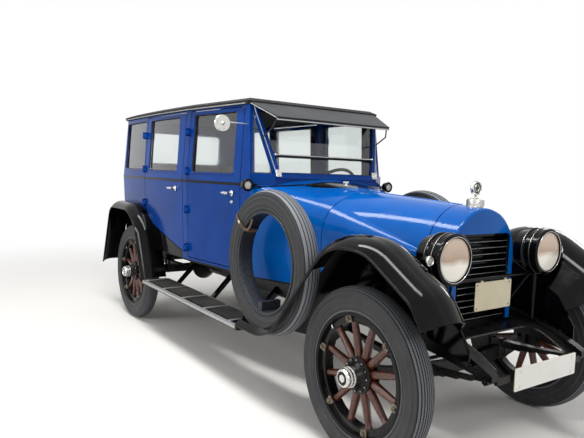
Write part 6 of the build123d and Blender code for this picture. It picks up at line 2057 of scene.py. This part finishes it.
@dataclass
class Studio:
    """Floor, lamps, world and the photograph's camera."""

    eye: Point = (3.7608, -2.5979, 1.4315)
    yaw: float = 145.2
    pitch: float = 4.7
    roll: float = 1.9
    focal_px: float = 570.2
    frame_px: float = 584.0
    sensor_mm: float = 36.0
    floor_tone: str = "e2e0dc"
    # Distances from the middle where the floor begins to fade and where it is white
    floor_fade: tuple[float, float] = (2.2, 7.5)
    # Strength of the sky as light on the car, and as the camera sees it
    sky_strength: tuple[float, float] = (0.5, 1.0)
    # Name, place, aim, width, height, power
    boxes: tuple[tuple[str, tuple[float, ...], tuple[float, ...], float, float, float], ...] = (
        ("overhead_lamp", (0.5, -1.6, 5.5), (0.2, 0.0, 0.8), 6.0, 0.8, 330.0),
        ("front_lamp", (7.0, -2.0, 3.6), (1.0, 0.0, 0.8), 2.6, 0.7, 90.0),
        ("side_lamp", (-0.5, -7.5, 3.6), (-0.5, 0.0, 1.0), 4.5, 0.8, 150.0),
        ("left_lamp", (-1.0, 7.5, 3.6), (-0.8, 0.0, 1.0), 4.5, 0.8, 90.0),
    )

    def camera(self) -> None:
        """The camera at the photograph's place."""
        yaw, pitch, roll = (math.radians(a) for a in (self.yaw, self.pitch, self.roll))
        ahead = Vector((math.cos(yaw) * math.cos(pitch), math.sin(yaw) * math.cos(pitch), -math.sin(pitch)))
        right = ahead.cross(UP).normalized()
        up = right.cross(ahead)
        right_rolled = right * math.cos(roll) + up * math.sin(roll)
        up_rolled = up * math.cos(roll) - right * math.sin(roll)
        lens = bpy.data.cameras.new("photo_camera")
        lens.sensor_width = self.sensor_mm
        lens.lens = self.focal_px / self.frame_px * self.sensor_mm
        lens.clip_end = 200.0
        camera = placed("photo_camera", lens)
        turn = Matrix((right_rolled, up_rolled, -ahead)).transposed().to_4x4()
        camera.matrix_world = shift(self.eye) @ turn
        bpy.context.scene.camera = camera

    def seen(self, tree: bpy.types.NodeTree) -> Socket:
        """Tells what is seen from what only lights.

        Args:
            tree: the node tree that asks.

        Returns:
            1 for what the camera sees, also in gloss and through glass, and 0 for light on the car.
        """
        path = add_node(tree, "LightPath").outputs
        either = calc(tree, "MAXIMUM", path["Is Camera Ray"], path["Is Glossy Ray"])
        return calc(tree, "MAXIMUM", either, path["Is Transmission Ray"])

    def floor(self) -> None:
        """A plain pale floor that keeps the shadow and fades to white with distance."""
        form = bmesh.new()
        bmesh.ops.create_grid(form, x_segments=1, y_segments=1, size=40.0)
        mesh = bpy.data.meshes.new("floor_stage")
        form.to_mesh(mesh)
        form.free()
        canvas = Canvas("pale_floor")
        tree = canvas.tree
        reach = add_node(tree, "VectorMath", {"operation": "LENGTH"}, {"0": canvas.place}).outputs["Value"]
        near, far = self.floor_fade
        fading = {"interpolation_type": "SMOOTHSTEP", "From Min": near, "From Max": far}
        fade = add_node(tree, "MapRange", fading, {"Value": reach}).outputs["Result"]
        share = calc(tree, "MULTIPLY", fade, self.seen(tree))
        white = add_node(tree, "Emission", {"Strength": 1.0}).outputs["Emission"]
        mixed = add_node(tree, "MixShader", links={"0": share, "1": canvas.shader.outputs["BSDF"], "2": white})
        tree.links.new(mixed.outputs["Shader"], tree.nodes["Material Output"].inputs["Surface"])
        mesh.materials.append(canvas.done({}, {"Base Color": linear(self.floor_tone), "Roughness": 0.9}))
        placed("floor_stage", mesh)

    def lamps(self) -> None:
        """A broad soft box overhead, lower ones from the front and the right, and a weak fill from the left."""
        for name, place, aim, width, height, power in self.boxes:
            lamp = bpy.data.lights.new(name, "AREA")
            lamp.shape = "RECTANGLE"
            lamp.size = width
            lamp.size_y = height
            lamp.energy = power
            holder = placed(name, lamp)
            holder.location = place
            holder.rotation_euler = (Vector(aim) - Vector(place)).to_track_quat("-Z", "Y").to_euler()

    def sky(self) -> None:
        """An even pale sky that stands white behind the car, in its gloss and through its glass."""
        world = bpy.data.worlds.new("studio_sky")
        bpy.context.scene.world = world
        world.use_nodes = True
        tree = world.node_tree
        shader = tree.nodes["Background"]
        light, white = self.sky_strength
        strength = add_node(tree, "MapRange", {"To Min": light, "To Max": white}, {"Value": self.seen(tree)})
        tree.links.new(strength.outputs["Result"], shader.inputs["Strength"])
        shader.inputs["Color"].default_value = linear("ffffff")

    def build(self) -> None:
        """The whole studio."""
        self.camera()
        self.floor()
        self.lamps()
        self.sky()
        bpy.context.scene.view_settings.view_transform = "Standard"


def main() -> None:
    """Builds the car's looks in order."""
    dress_nodes()
    for place in WHEEL_PLACES:
        WoodWheel(place).build()
    parts = (
        Spares(), Headlamp(1.0), Headlamp(-1.0), LampGlass(), SmallLamps(), RadiatorTrim(), Mouldings(), WindowBeads(),
        Handles(), RunningBoards(), ScreenTrim(), FrontEnd(), VentLid(), CowlStrip(), PlateFaces(), Lining(),
        Seat("front_seat", -2225.0, 500.0, 1035.0, 1440.0), Seat("rear_seat", -3715.0, 560.0, 1045.0, 1500.0),
        MirrorTrim(), SteeringControls(),
    )
    for part in parts:
        part.build()
        LOG.info("built %s", type(part).__name__)
    Studio().build()


if __name__ == "__main__":
    main()
